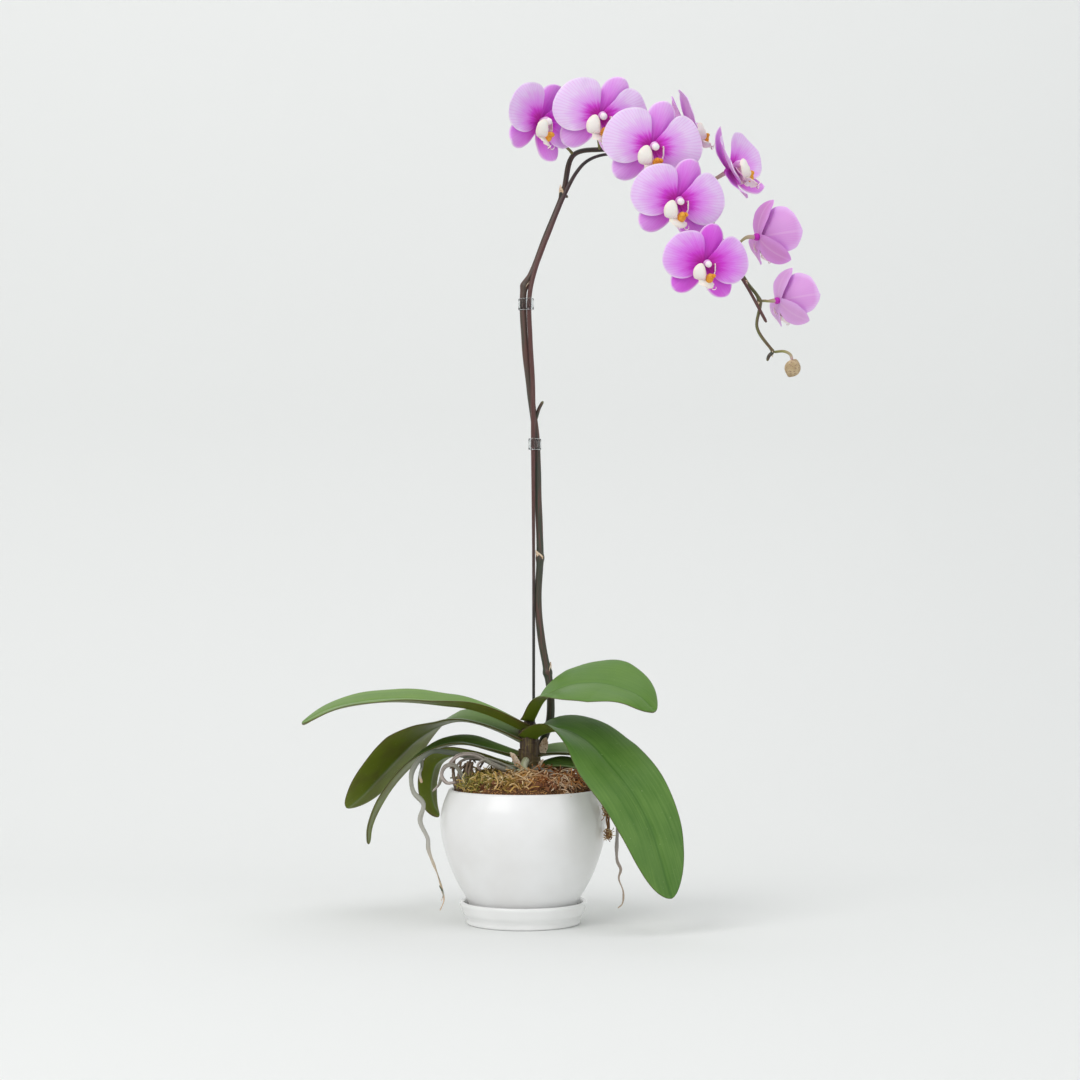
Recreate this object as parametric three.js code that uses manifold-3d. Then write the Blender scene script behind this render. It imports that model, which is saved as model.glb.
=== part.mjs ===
// A potted moth orchid: a bellied glazed pot on a saucer, filled with bark and moss, and the plant in it.
// Millimetres, +Z up. The origin is the centre of the saucer's flat underside.
import * as THREE from "three";
import Module from "manifold-3d";
import { mergeVertices } from "three/addons/utils/BufferGeometryUtils.js";

const wasm = await Module();
wasm.setup();

// ---- Driving dimensions ----

const GAP = 0.35; // kept between pieces that touch
const ROUND_SEGMENTS = 32; // around the pot and the saucer

// Saucer
const SAUCER_RIM_RADIUS = 49.6;
const SAUCER_HEIGHT = 17.6;
const SAUCER_FOOT_RADIUS = 45;
const SAUCER_WALL = 3.4;
const SAUCER_FLOOR = 5;

// Pot
const POT_RIM_RADIUS = 58.7;
const POT_BELLY_RADIUS = 64.5;
const POT_FOOT_RADIUS = 39.5;
const POT_HEIGHT = 99.2;
const POT_WALL = 4;
const POT_FLOOR = 6;
const DRAIN_HOLE_RADIUS = 7;

// Growing medium
const MEDIUM_EDGE_DROP = 4; // below the pot's rim at the wall
const MEDIUM_MOUND = 17; // rise from the wall to the middle

// Crown stem
const STEM_RADIUS = 7.4;
const STEM_HEIGHT = 44; // above the medium
const STEM_ROOT_DEPTH = 10; // in the medium
const STEM_X = 4.5; // it stands a little off the pot's axis

// Leaves
const LEAF_THICKNESS = 2.6;

// Flower spike, stake and clips
const SPIKE_RADIUS = 2.8; // at the base
const SPIKE_TIP_RADIUS = 1.15;
const PEDICEL_RADIUS = 1.1;
const STAKE_RADIUS = 1.5;
const STAKE_DEPTH = 70; // in the medium
const CLIP_WALL = 1;
const CLIP_HEIGHT = 9;
const CLIP_LOWER_Z = 369; // bottom of the lower clip
const CLIP_UPPER_Z = 479;

// Flowers
const FLOWER_SIZE = 1; // overall, for all of them
const PETAL_LENGTH = 37;
const PETAL_WIDTH = 42;
const PETAL_THICKNESS = 1.1;
const SEPAL_LENGTH = 35;
const SEPAL_WIDTH = 22;
const COLUMN_RADIUS = 2.5;
const LIP_LENGTH = 19;
const LIP_WIDTH = 14;
const LIP_THICKNESS = 1.6;
const SIDE_LOBE_WIDTH = 9;
const BUD_RADIUS = 6.2;

// ---- Worked-out places ----

const potBase = SAUCER_FLOOR + GAP;
const potTop = potBase + POT_HEIGHT;
const mediumEdge = potTop - MEDIUM_EDGE_DROP;
const mediumTop = mediumEdge + MEDIUM_MOUND;
const stemTop = mediumTop + STEM_HEIGHT;
const stemAxis = new THREE.Vector2(STEM_X, 0);

// The plant's points are drawn for a pot of this size, and follow the real pot's.
const DRAWN_RIM_HEIGHT = 104.55;
const DRAWN_RIM_RADIUS = 58.7;
const DRAWN_BELLY_RADIUS = 64.5;

// ---- Helpers ----

const vec = (x, y, z) => new THREE.Vector3(x, y, z);
const toVectors = (points) => points.map((p) => vec(...p));

// A point of the plant at its height over the real pot: what hangs beside the pot stretches with it.
function lifted([x, y, z]) {
  return [x, y, z < DRAWN_RIM_HEIGHT ? (z * potTop) / DRAWN_RIM_HEIGHT : z + potTop - DRAWN_RIM_HEIGHT];
}

// The same for a piece that goes out over the rim: it keeps its distance from the rim and the belly.
function draped([x, y, z]) {
  const reach = Math.hypot(x, y);
  const drawn = [0, DRAWN_RIM_RADIUS - POT_WALL, DRAWN_BELLY_RADIUS, 1000];
  const growth = POT_BELLY_RADIUS - DRAWN_BELLY_RADIUS;
  const real = [0, POT_RIM_RADIUS - POT_WALL, POT_BELLY_RADIUS, 1000 + growth];
  const stops = drawn.map((at, i) => [at, real[i]]);
  const scale = reach > 0 ? along(stops, reach) / reach : 1;
  return lifted([x * scale, y * scale, z]);
}

// The surface with only its positions and shared vertices, as a solid that can be joined and cut.
function toSolid(geometry) {
  const bare = geometry.clone();
  bare.deleteAttribute("normal");
  bare.deleteAttribute("uv");
  const merged = mergeVertices(bare, 1e-4);
  return new wasm.Manifold(
    new wasm.Mesh({
      numProp: 3,
      vertProperties: new Float32Array(merged.attributes.position.array),
      triVerts: new Uint32Array(merged.index.array),
    }),
  );
}

function toGeometry(solid) {
  const mesh = solid.getMesh();
  const geometry = new THREE.BufferGeometry();
  geometry.setAttribute("position", new THREE.BufferAttribute(mesh.vertProperties, 3));
  geometry.setIndex(new THREE.BufferAttribute(mesh.triVerts, 1));
  return geometry;
}

function join(geometries) {
  return toGeometry(geometries.map(toSolid).reduce((whole, piece) => whole.add(piece)));
}

function cut(geometry, cutters) {
  return toGeometry(cutters.map(toSolid).reduce((rest, cutter) => rest.subtract(cutter), toSolid(geometry)));
}

function turnOutwards(positions, index) {
  let volume = 0;
  for (let i = 0; i < index.length; i += 3) {
    const [a, b, c] = [0, 1, 2].map((k) => positions[index[i + k]]);
    volume += a.dot(vec(0, 0, 0).crossVectors(b, c));
  }
  if (volume >= 0) return index;
  return index.map((_, i) => index[i - (i % 3) + [0, 2, 1][i % 3]]);
}

function closedSurface(positions, index) {
  const geometry = new THREE.BufferGeometry();
  geometry.setFromPoints(positions);
  geometry.setIndex(turnOutwards(positions, index));
  return geometry;
}

// A skin over rings of equal length, with the faces that close its first and last ring.
function skin(rings, capFaces) {
  const count = rings[0].length;
  const index = [];
  for (let k = 0; k + 1 < rings.length; k++) {
    for (let i = 0; i < count; i++) {
      const a = k * count + i;
      const b = k * count + ((i + 1) % count);
      index.push(a, b, b + count, a, b + count, a + count);
    }
  }
  const last = (rings.length - 1) * count;
  for (const [a, b, c] of capFaces) {
    index.push(a, c, b);
    index.push(last + a, last + b, last + c);
  }
  return closedSurface(rings.flat(), index);
}

// A value that runs through stops [share of the length, value].
function along(stops, share) {
  if (typeof stops === "number") return stops;
  const next = stops.findIndex(([at]) => at >= share);
  if (next === 0) return stops[0][1];
  if (next < 0) return stops[stops.length - 1][1];
  const [fromAt, from] = stops[next - 1];
  const [toAt, to] = stops[next];
  return THREE.MathUtils.lerp(from, to, (share - fromAt) / (toAt - fromAt));
}

// A round stem along a smooth curve, its radius given along its length. grow makes it fatter for a pocket.
function stalk(points, radius, { sides = 8, steps = 24, grow = 0 } = {}) {
  const curve = new THREE.CatmullRomCurve3(toVectors(points), false, "centripetal");
  const frames = curve.computeFrenetFrames(steps, false);
  const rings = [];
  for (let k = 0; k <= steps; k++) {
    const middle = curve.getPointAt(k / steps);
    const r = along(radius, k / steps) + grow;
    rings.push(
      Array.from({ length: sides }, (_, i) => {
        const turn = (2 * Math.PI * i) / sides;
        return middle
          .clone()
          .addScaledVector(frames.normals[k], r * Math.cos(turn))
          .addScaledVector(frames.binormals[k], r * Math.sin(turn));
      }),
    );
  }
  const capFaces = Array.from({ length: sides - 2 }, (_, i) => [0, i + 1, i + 2]);
  return skin(rings, capFaces);
}

function ball(centre, radius, scale = [1, 1, 1]) {
  return new THREE.SphereGeometry(radius, 8, 5).scale(...scale).translate(...centre);
}

// The width of a leaf or petal as a share of its greatest: from a claw at its base to a round end.
function bladeWidth(share, { claw, widest, bluntness, swell = 1.6 }) {
  const rise = Math.pow(Math.sin((Math.PI / 2) * Math.min(1, share / widest)), swell);
  const past = Math.max(0, (share - widest) / (1 - widest));
  return (claw + (1 - claw) * rise) * Math.pow(Math.max(0, 1 - Math.pow(past, bluntness)), 0.6);
}

// A leaf-like blade: a midrib curve, a width that follows bladeWidth, a fold along the midrib and a roll
// about it. Both are in degrees and may change along the length. sideways is level across its base.
function blade(midrib, sideways, shape) {
  const { width, thickness, fold = 0, roll = 0, across = 5, steps = 9, camber = 0 } = shape;
  const curve = new THREE.CatmullRomCurve3(toVectors(midrib), false, "centripetal");
  const rings = [];
  for (let k = 0; k <= steps; k++) {
    const share = 1 - Math.pow(1 - k / (steps + 0.35), 1.25);
    const middle = curve.getPointAt(share);
    const forward = curve.getTangentAt(share);
    const side = sideways.clone().addScaledVector(forward, -sideways.dot(forward)).normalize();
    side.applyAxisAngle(forward, THREE.MathUtils.degToRad(along(roll, share)));
    const up = side.clone().cross(forward).normalize();
    const half = (width / 2) * bladeWidth(share, shape);
    const lift = Math.tan(THREE.MathUtils.degToRad(along(fold, share)));
    const point = (j, face) => {
      const edge = Math.abs(j);
      const thick = (thickness / 2) * face * (1 - edge * edge);
      const rise = half * (lift * edge - camber * j * j) + thick;
      return middle.clone().addScaledVector(side, half * j).addScaledVector(up, rise);
    };
    const spots = Array.from({ length: across }, (_, i) => (2 * i) / (across - 1) - 1);
    const under = spots.slice(1, -1).reverse();
    rings.push([...spots.map((j) => point(j, 1)), ...under.map((j) => point(j, -1))]);
  }
  const count = 2 * across - 2;
  const capFaces = [[0, 1, count - 1]];
  for (let i = 1; i < across - 2; i++) {
    capFaces.push([i, i + 1, count - i - 1], [i, count - i - 1, count - i]);
  }
  capFaces.push([across - 2, across - 1, across]);
  return skin(rings, capFaces);
}

function lathe(profile) {
  const points = profile.map(([r, z]) => new THREE.Vector2(r, z));
  return new THREE.LatheGeometry(points, ROUND_SEGMENTS).rotateX(Math.PI / 2);
}

// Points round a rounded lip, from the outside over the top to the inside.
function lipArc(middleRadius, topZ, halfWall, count = 3) {
  return Array.from({ length: count + 1 }, (_, i) => {
    const turn = (Math.PI * i) / count;
    return [middleRadius + halfWall * Math.cos(turn), topZ - halfWall + halfWall * Math.sin(turn)];
  });
}

const finish = (color, roughness, metalness = 0) =>
  new THREE.MeshStandardMaterial({ color, roughness, metalness, side: THREE.FrontSide });

const orchid = new THREE.Group();

function addPiece(name, geometry, material, parent = orchid) {
  const mesh = new THREE.Mesh(geometry, material);
  mesh.name = name;
  parent.add(mesh);
  return mesh;
}

// ---- Pot and saucer ----

// The pot's outline as [share of its height, share of the way from the foot's radius to the belly's].
const potCurve = [
  [0.03, 0.03],
  [0.15, 0.2],
  [0.24, 0.41],
  [0.34, 0.61],
  [0.5, 0.84],
  [0.63, 0.965],
  [0.76, 1],
  [0.87, 0.93],
];

function potOutside() {
  const swell = POT_BELLY_RADIUS - POT_FOOT_RADIUS;
  const wall = potCurve.map(([up, out]) => [POT_FOOT_RADIUS + swell * out, potBase + POT_HEIGHT * up]);
  return [[POT_FOOT_RADIUS - 1, potBase], ...wall];
}

function potInside() {
  const wall = potOutside()
    .slice(3)
    .map(([r, z]) => [r - POT_WALL, z]);
  return [[POT_FOOT_RADIUS - POT_WALL, potBase + POT_FLOOR], ...wall];
}

const potRimMiddle = POT_RIM_RADIUS - POT_WALL / 2;
const potProfile = [
  [DRAIN_HOLE_RADIUS, potBase],
  ...potOutside(),
  ...lipArc(potRimMiddle, potTop, POT_WALL / 2),
  ...potInside().reverse(),
  [DRAIN_HOLE_RADIUS, potBase + POT_FLOOR],
  [DRAIN_HOLE_RADIUS, potBase],
];
addPiece("pot", lathe(potProfile), finish("#e9eaec", 0.3));

const saucerLip = SAUCER_RIM_RADIUS - SAUCER_WALL / 2;
const saucerProfile = [
  [0, 0],
  [SAUCER_FOOT_RADIUS - 1.2, 0],
  [SAUCER_FOOT_RADIUS, 1.3],
  [SAUCER_FOOT_RADIUS - 0.9, 3.4],
  [SAUCER_FOOT_RADIUS + 0.3, 6],
  [SAUCER_RIM_RADIUS - 1.1, SAUCER_HEIGHT - 6],
  ...lipArc(saucerLip, SAUCER_HEIGHT, SAUCER_WALL / 2),
  [SAUCER_RIM_RADIUS - SAUCER_WALL - 1.3, SAUCER_HEIGHT - 6],
  [SAUCER_FOOT_RADIUS - SAUCER_WALL + 0.4, SAUCER_FLOOR + 1],
  [SAUCER_FOOT_RADIUS - SAUCER_WALL - 1.4, SAUCER_FLOOR],
  [0, SAUCER_FLOOR],
];
addPiece("saucer", lathe(saucerProfile), finish("#f0f0f0", 0.22));

// ---- Crown stem, stake, spike and roots: first their shapes, because the medium has a pocket for each ----

function crownStem(grow = 0) {
  const foot = mediumTop - STEM_ROOT_DEPTH;
  const profile = [
    [0, foot - grow],
    [STEM_RADIUS * 0.75 + grow, foot - grow],
    [STEM_RADIUS + grow, foot + 5],
    [STEM_RADIUS * 1.04 + grow, mediumTop + STEM_HEIGHT * 0.35],
    [STEM_RADIUS * 0.96 + grow, mediumTop + STEM_HEIGHT * 0.62],
    [STEM_RADIUS * 0.7 + grow, stemTop - 5],
    [0, stemTop + grow],
  ].map(([r, z]) => new THREE.Vector2(r, z));
  return new THREE.LatheGeometry(profile, 14).rotateX(Math.PI / 2).translate(stemAxis.x, stemAxis.y, 0);
}

// The stake stands upright behind the stem, leans over with the spike and ends past the flowers.
// The stake stands further off than it is drawn by as much as it and the spike are thicker.
const DRAWN_SPIKE_AND_STAKE = 4.3;
const crowding = SPIKE_RADIUS + STAKE_RADIUS - DRAWN_SPIKE_AND_STAKE;
const besideSpike = ([x, y, z]) => lifted([x - crowding, y - crowding, z]);
const stakeFoot = [8, 18, mediumTop - STAKE_DEPTH];
const stakeStalk = [
  [8, 18, 180],
  [8, 14, 270],
  [7.6, 11, 370],
  [8, 10, 420],
  [7.6, 10, 490],
  [13.5, 10, 512],
  [24.5, 10, 546],
  [36.5, 10, 579],
  [46, 9, 592],
  [63, 9, 601],
  [82, 8, 600],
  [108, -2, 583],
  [137, -5, 550],
  [160, -8, 517],
  [174, -9, 495],
  [189, -10, 467],
].map(besideSpike);
const stakeLine = [stakeFoot, ...stakeStalk];
const stakeRadii = [
  [0, STAKE_RADIUS * 0.8],
  [0.3, STAKE_RADIUS * 0.8],
  [0.45, STAKE_RADIUS * 1.15],
  [0.65, STAKE_RADIUS * 1.15],
  [0.75, STAKE_RADIUS * 0.75],
  [1, STAKE_RADIUS * 0.78],
];
const stake = (grow = 0) => stalk(stakeLine, stakeRadii, { steps: 38, sides: 6, grow });

// ---- Flowers ----

const RECEPTACLE_RADIUS = 3.1;
const RECEPTACLE_BACK = 7.3; // from the flower's centre to where its stalk meets it
const PETAL_START = 2.6;
const PETAL_RAISE = 11; // degrees above level

// centre; yaw to the right, pitch up and roll clockwise, of a flower that faces -Y; lean of its upper sepal
// to the right; cup, the mean slope of its petals forwards. All angles in degrees.
const flowers = [
  { centre: [18, -19, 622], yaw: 30, pitch: -8, roll: 8, size: 0.97, lean: 18, cup: 4 },
  { centre: [64, -13, 624], yaw: 14, pitch: -10, roll: 6, size: 1.04, lean: 27, cup: 0 },
  { centre: [104, -21, 598], yaw: 12, pitch: -12, roll: 5, size: 1.08, lean: 15, cup: 0 },
  { centre: [123, -29, 557], yaw: 12, pitch: -12, roll: 8, size: 1, lean: 17, cup: 0 },
  { centre: [147, -35, 513], yaw: 12, pitch: -10, roll: 2, size: 0.9, lean: 12, cup: 0 },
  { centre: [138, 27, 629], yaw: 93, pitch: 28, roll: 28, size: 1, lean: 0, cup: 8 },
  { centre: [165, 14, 592], yaw: 58, pitch: 4, roll: -4, size: 0.94, lean: 0, cup: 16 },
  { centre: [190, 12, 538], yaw: 116, pitch: 12, roll: -12, size: 0.9, lean: 0, cup: 20 },
  { centre: [208, 6, 487], yaw: 116, pitch: 4, roll: -6, size: 0.84, lean: 0, cup: 22 },
];

function flowerFrame({ centre, yaw, pitch, roll, size }) {
  const [turn, tilt, spin] = [yaw, pitch, roll].map(THREE.MathUtils.degToRad);
  const facing = vec(Math.sin(turn) * Math.cos(tilt), -Math.cos(turn) * Math.cos(tilt), Math.sin(tilt));
  const right = vec(Math.cos(turn), Math.sin(turn), 0).applyAxisAngle(facing, -spin);
  const top = facing.clone().cross(right);
  const scale = size * FLOWER_SIZE;
  const frame = new THREE.Matrix4().makeBasis(right, top, facing);
  return frame.scale(vec(scale, scale, scale)).setPosition(...lifted(centre));
}

// A direction in the flower's plane, in degrees anticlockwise from its right.
function inPlane(angle) {
  const turn = THREE.MathUtils.degToRad(angle);
  return vec(Math.cos(turn), Math.sin(turn), 0);
}

// A petal or sepal: it runs outwards at the angle, through heights in front of the flower's plane, and the
// whole flower is a bowl as deep as its cup, so that what nests in the flat flower nests in the cupped one.
function floralBlade(angle, start, length, heights, cup, shape) {
  const out = inPlane(angle);
  const midrib = heights.map((z, k) => {
    const reach = start + (length - start) * (k / (heights.length - 1));
    return [out.x * reach, out.y * reach, z];
  });
  const flat = blade(midrib, out.clone().cross(vec(0, 0, 1)), { thickness: PETAL_THICKNESS, ...shape });
  const points = flat.attributes.position;
  const depth = Math.tan(THREE.MathUtils.degToRad(cup)) / PETAL_LENGTH;
  for (let i = 0; i < points.count; i++) {
    points.setZ(i, points.getZ(i) + depth * (points.getX(i) ** 2 + points.getY(i) ** 2));
  }
  return flat;
}

const petalShape = {
  width: PETAL_WIDTH,
  claw: 0.24,
  widest: 0.52,
  swell: 0.8,
  bluntness: 2.6,
  camber: 0.1,
  steps: 6,
};
const sepalShape = {
  width: SEPAL_WIDTH,
  claw: 0.3,
  widest: 0.55,
  swell: 1,
  bluntness: 2.2,
  steps: 5,
  across: 3,
};

function sepals({ lean, cup }) {
  const heights = [-3.2, -3.3, -3.6, -4.6];
  const spread = [90 - lean, 222, 312];
  const blades = spread.map((angle) => floralBlade(angle, 0, SEPAL_LENGTH, heights, cup, sepalShape));
  const receptacle = ball([0, 0, RECEPTACLE_RADIUS - RECEPTACLE_BACK], RECEPTACLE_RADIUS);
  return join([...blades, receptacle]);
}

function petal(angle, cup) {
  return floralBlade(angle, PETAL_START, PETAL_LENGTH, [-1.1, 0.7, 0.6, -1.4], cup, petalShape);
}

// The column with its cap, and the lip: two upright side lobes and a front lobe that reaches forwards.
function lip() {
  const columnFoot = PETAL_THICKNESS / 2 - 1.1 + GAP;
  const columnRadii = [
    [0, COLUMN_RADIUS * 0.85],
    [0.6, COLUMN_RADIUS],
    [0.9, COLUMN_RADIUS * 1.1],
    [1, COLUMN_RADIUS * 0.5],
  ];
  const columnLine = [[0, 0, columnFoot], [0, 0.6, 4], [0, 0.2, 9.5]];
  const column = stalk(columnLine, columnRadii, { sides: 6, steps: 4 });
  const frontLine = [[0, -0.5, 2.2], [0, -5, 5.5], [0, -10, 9], [0, -LIP_LENGTH, 8.5]];
  const frontShape = {
    width: LIP_WIDTH,
    thickness: LIP_THICKNESS,
    claw: 0.35,
    widest: 0.6,
    bluntness: 1.6,
    camber: -0.2,
    steps: 4,
    across: 3,
  };
  const front = blade(frontLine, vec(1, 0, 0), frontShape);
  const lobeShape = {
    width: SIDE_LOBE_WIDTH,
    thickness: LIP_THICKNESS * 0.75,
    claw: 0.4,
    widest: 0.5,
    bluntness: 2.4,
    steps: 3,
    across: 3,
  };
  const lobes = [-1, 1].map((side) => {
    const line = [
      [side * 1.2, -4.5, 5.5],
      [side * 5.4, -5, 7.5],
      [side * 7.2, -2.5, 10],
      [side * 6.4, 1.5, 12.5],
    ];
    return blade(line, vec(0, -0.75, 0.66).multiplyScalar(side), lobeShape);
  });
  return join([column, front, ...lobes]);
}

const petalFinish = finish("#e08af0", 0.55);
const sepalFinish = finish("#d873e2", 0.55);
const lipFinish = finish("#fdf0e4", 0.5);

flowers.forEach((flower, i) => {
  const group = new THREE.Group();
  group.applyMatrix4(flowerFrame(flower));
  orchid.add(group);
  const name = `flower_${i + 1}`;
  addPiece(`${name}_sepals`, sepals(flower), sepalFinish.clone(), group);
  addPiece(`${name}_petal_left`, petal(180 - PETAL_RAISE, flower.cup), petalFinish.clone(), group);
  addPiece(`${name}_petal_right`, petal(PETAL_RAISE, flower.cup), petalFinish.clone(), group);
  const face = addPiece(`${name}_lip`, lip(), lipFinish.clone(), group);
  face.rotation.z = THREE.MathUtils.degToRad(flower.roll * 0.8);
});

// ---- Flower spike ----

const spikeLine = [
  [13.5, 9, 137],
  [17.5, 11, 146],
  [21, 13, 158],
  [21, 15, 181],
  [19, 17, 194],
  [14.2, 18, 220],
  [11.4, 17, 251],
  [13, 16, 284],
  [11.6, 16, 330],
  [10, 16, 377],
  [5.3, 15.4, 416],
  [1, 13, 456],
  [0.8, 12.5, 498],
  [6, 14, 507],
  [19, 16, 541],
  [31, 16, 571],
  [39.5, 16, 602],
  [60, 14, 606],
  [88, 10, 602],
  [106, 7, 594],
  [130, 3, 573],
  [146, 0, 549],
  [160, -3, 523],
  [174, -6, 499],
  [184, -7, 484],
  [182, -8, 463],
  [194.5, -9, 444],
].map(lifted);
const spikeRadii = [
  [0, SPIKE_RADIUS * 1.12],
  [0.2, SPIKE_RADIUS],
  [0.5, SPIKE_RADIUS * 0.96],
  [0.57, SPIKE_RADIUS * 0.86],
  [0.64, SPIKE_RADIUS * 0.72],
  [0.7, SPIKE_RADIUS * 0.62],
  [0.88, SPIKE_TIP_RADIUS * 1.25],
  [1, SPIKE_TIP_RADIUS],
];
// Swollen joints: [index of the point on the line, radius].
const spikeNodes = [
  [4, 3.5],
  [7, 3.3],
  [12, 3.4],
  [15, 3],
  [24, 2],
  [26, 1.7],
];
// The point on the line that each flower's stalk leaves, and the way it sets off.
const pedicelStarts = [
  [16, [-0.6, -0.5, 0.6]],
  [17, [-0.1, -0.8, 0.5]],
  [19, [-0.2, -1, 0.2]],
  [20, [-0.3, -1, 0]],
  [22, [-0.2, -1, 0]],
  [18, [0.3, 0.8, 0.5]],
  [20, [0.3, 0.8, 0.4]],
  [22, [0.4, 0.8, 0.2]],
  [24, [0.7, 0.7, 0.1]],
];
const budCentre = lifted([209, -10, 431.5]);

function pedicel(flower, [from, heading]) {
  const start = vec(...spikeLine[from]);
  const frame = flowerFrame(flower);
  const back = vec(0, 0, -RECEPTACLE_BACK - GAP).applyMatrix4(frame);
  const behind = vec(0, 0, -RECEPTACLE_BACK - 8).applyMatrix4(frame);
  const bend = start.clone().addScaledVector(vec(...heading).normalize(), 7);
  const line = [start, bend, behind, back].map((p) => p.toArray());
  return stalk(line, PEDICEL_RADIUS, { sides: 5, steps: 6 });
}

function flowerSpike() {
  const main = stalk(spikeLine, spikeRadii, { sides: 6, steps: 46 });
  const nodes = spikeNodes.map(([at, radius]) => ball(spikeLine[at], radius, [1, 1, 1.2]));
  const pedicels = flowers.map((flower, i) => pedicel(flower, pedicelStarts[i]));
  const tip = spikeLine[spikeLine.length - 1];
  const budTop = [budCentre[0], budCentre[1], budCentre[2] + BUD_RADIUS + GAP];
  const stubs = [
    [[10, 16, 396], [12.4, 15.2, 402], [15.4, 14.6, 407.5]].map(lifted),
    [[31, 16, 571], [35, 15, 568.5]].map(lifted),
    [tip, ...[[191, -10, 441], [189.5, -11, 437]].map(lifted)],
  ];
  const stubStalks = stubs.map((line) => stalk(line, 1.3, { sides: 5, steps: 2 }));
  const budLine = [tip, ...[[203, -9, 444.5], [207.5, -9.6, 442]].map(lifted), budTop];
  const budStalk = stalk(budLine, 0.95, { sides: 5, steps: 6 });
  return join([main, ...nodes, ...pedicels, ...stubStalks, budStalk]);
}

const spikeFinish = finish("#4b453c", 0.55);
addPiece("flower_spike", flowerSpike(), spikeFinish);
addPiece("flower_bud", ball(budCentre, BUD_RADIUS, [1.05, 0.95, 1]), finish("#b59f7f", 0.6));

// ---- Leaves ----

// Each midrib starts at the stem. roll turns the near edge down; fold lifts both edges.
const leaves = [
  {
    midrib: [
      [-5, -3, 152], [-25, -6, 162.5], [-44, -9, 169.5], [-62, -12, 172.5], [-94, -17, 176],
      [-126, -21, 174.5], [-149, -24, 169], [-170, -26, 157],
    ],
    width: 54,
    roll: [[0, 0], [0.45, -13], [1, -8]],
    fold: [[0, 38], [0.35, 20], [1, 6]],
  },
  {
    midrib: [
      [-4, 4, 142], [-19, 11, 149], [-38, 22, 155], [-55, 33, 155.5], [-71, 44, 149.5],
      [-88, 54, 138], [-100, 60, 126.5], [-117, 66, 109], [-133, 70, 92], [-144, 72, 82.5],
    ],
    width: 46,
    roll: [[0, 0], [0.5, 2], [0.7, 24], [1, 30]],
    fold: [[0, 36], [0.4, 16], [1, 8]],
  },
  {
    midrib: [
      [-4, 3, 129.5], [-26, 12, 134], [-46, 22, 138], [-62, 30, 136], [-79, 38, 128],
      [-99, 46, 110], [-114, 52, 89], [-123, 56, 69], [-125, 58, 54.5],
    ],
    width: 34,
    roll: [[0, 0], [0.5, -8], [1, -20]],
    fold: [[0, 34], [0.4, 16], [1, 10]],
  },
  {
    midrib: [
      [-4, 6, 121], [-26, 16, 125.5], [-46, 24, 128.5], [-60, 27, 128], [-70, 28, 122],
      [-74, 28, 111], [-74.5, 27, 99], [-72, 26, 88], [-67, 24, 80],
    ],
    width: 24,
    roll: [[0, 0], [0.5, 20], [1, 30]],
    fold: [[0, 30], [0.4, 18], [1, 12]],
  },
  {
    midrib: [
      [3, -5, 160], [17, -11, 177], [33, -20, 185], [51, -32, 187.5], [70, -44, 186],
      [88, -54, 181], [99, -58, 172],
    ],
    width: 62,
    roll: [[0, 6], [0.4, 24], [1, 22]],
    fold: [[0, 32], [0.35, 12], [1, 4]],
  },
  {
    midrib: [
      [4, -6, 144], [15, -9, 148.5], [29, -15, 151], [52, -29, 143.5], [74, -44, 127],
      [91, -55, 107], [103, -62, 84], [109.5, -66, 62], [112, -68, 41], [112, -68, 28],
    ],
    width: 53,
    roll: [[0, 0], [0.4, 12], [1, 22]],
    fold: [[0, 38], [0.35, 12], [1, 6]],
  },
  {
    midrib: [
      [5, 5, 130.5], [15, 12, 130], [29, 22, 130.5], [49, 41, 126], [70, 59, 112],
      [88, 75, 92], [98, 84, 68],
    ],
    width: 46,
    roll: [[0, 0], [1, 0]],
    fold: [[0, 34], [0.4, 14], [1, 8]],
  },
  {
    midrib: [[5, 2, 121], [29, 12, 121.5], [45, 22, 118], [61, 32, 110], [74, 40, 97], [82, 45, 82]],
    width: 34,
    roll: [[0, 0], [1, 0]],
    fold: [[0, 30], [0.4, 14], [1, 8]],
  },
];

const leafShape = {
  claw: 0.32,
  widest: 0.6,
  bluntness: 2.5,
  camber: 0.06,
  steps: 12,
  thickness: LEAF_THICKNESS,
};

function leaf({ midrib, ...shape }) {
  const points = midrib.map(draped);
  const base = vec(...points[0]);
  const tip = vec(...points[points.length - 1]);
  const heading = tip.clone().sub(base).setZ(0).normalize();
  const start = stemAxis.clone().addScaledVector(new THREE.Vector2(heading.x, heading.y), STEM_RADIUS * 0.8);
  const line = [[start.x, start.y, base.z], ...points.slice(1)];
  const sideways = vec(heading.y, -heading.x, 0);
  return cut(blade(line, sideways, { ...leafShape, ...shape }), [crownStem(GAP)]);
}

leaves.forEach((spec, i) => addPiece(`leaf_${i + 1}`, leaf(spec), finish("#5c7d3c", 0.42)));
addPiece("crown_stem", crownStem(), finish("#54492f", 0.7));
addPiece("support_stake", stake(), finish("#5d4340", 0.5));

// ---- Aerial roots ----

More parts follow.
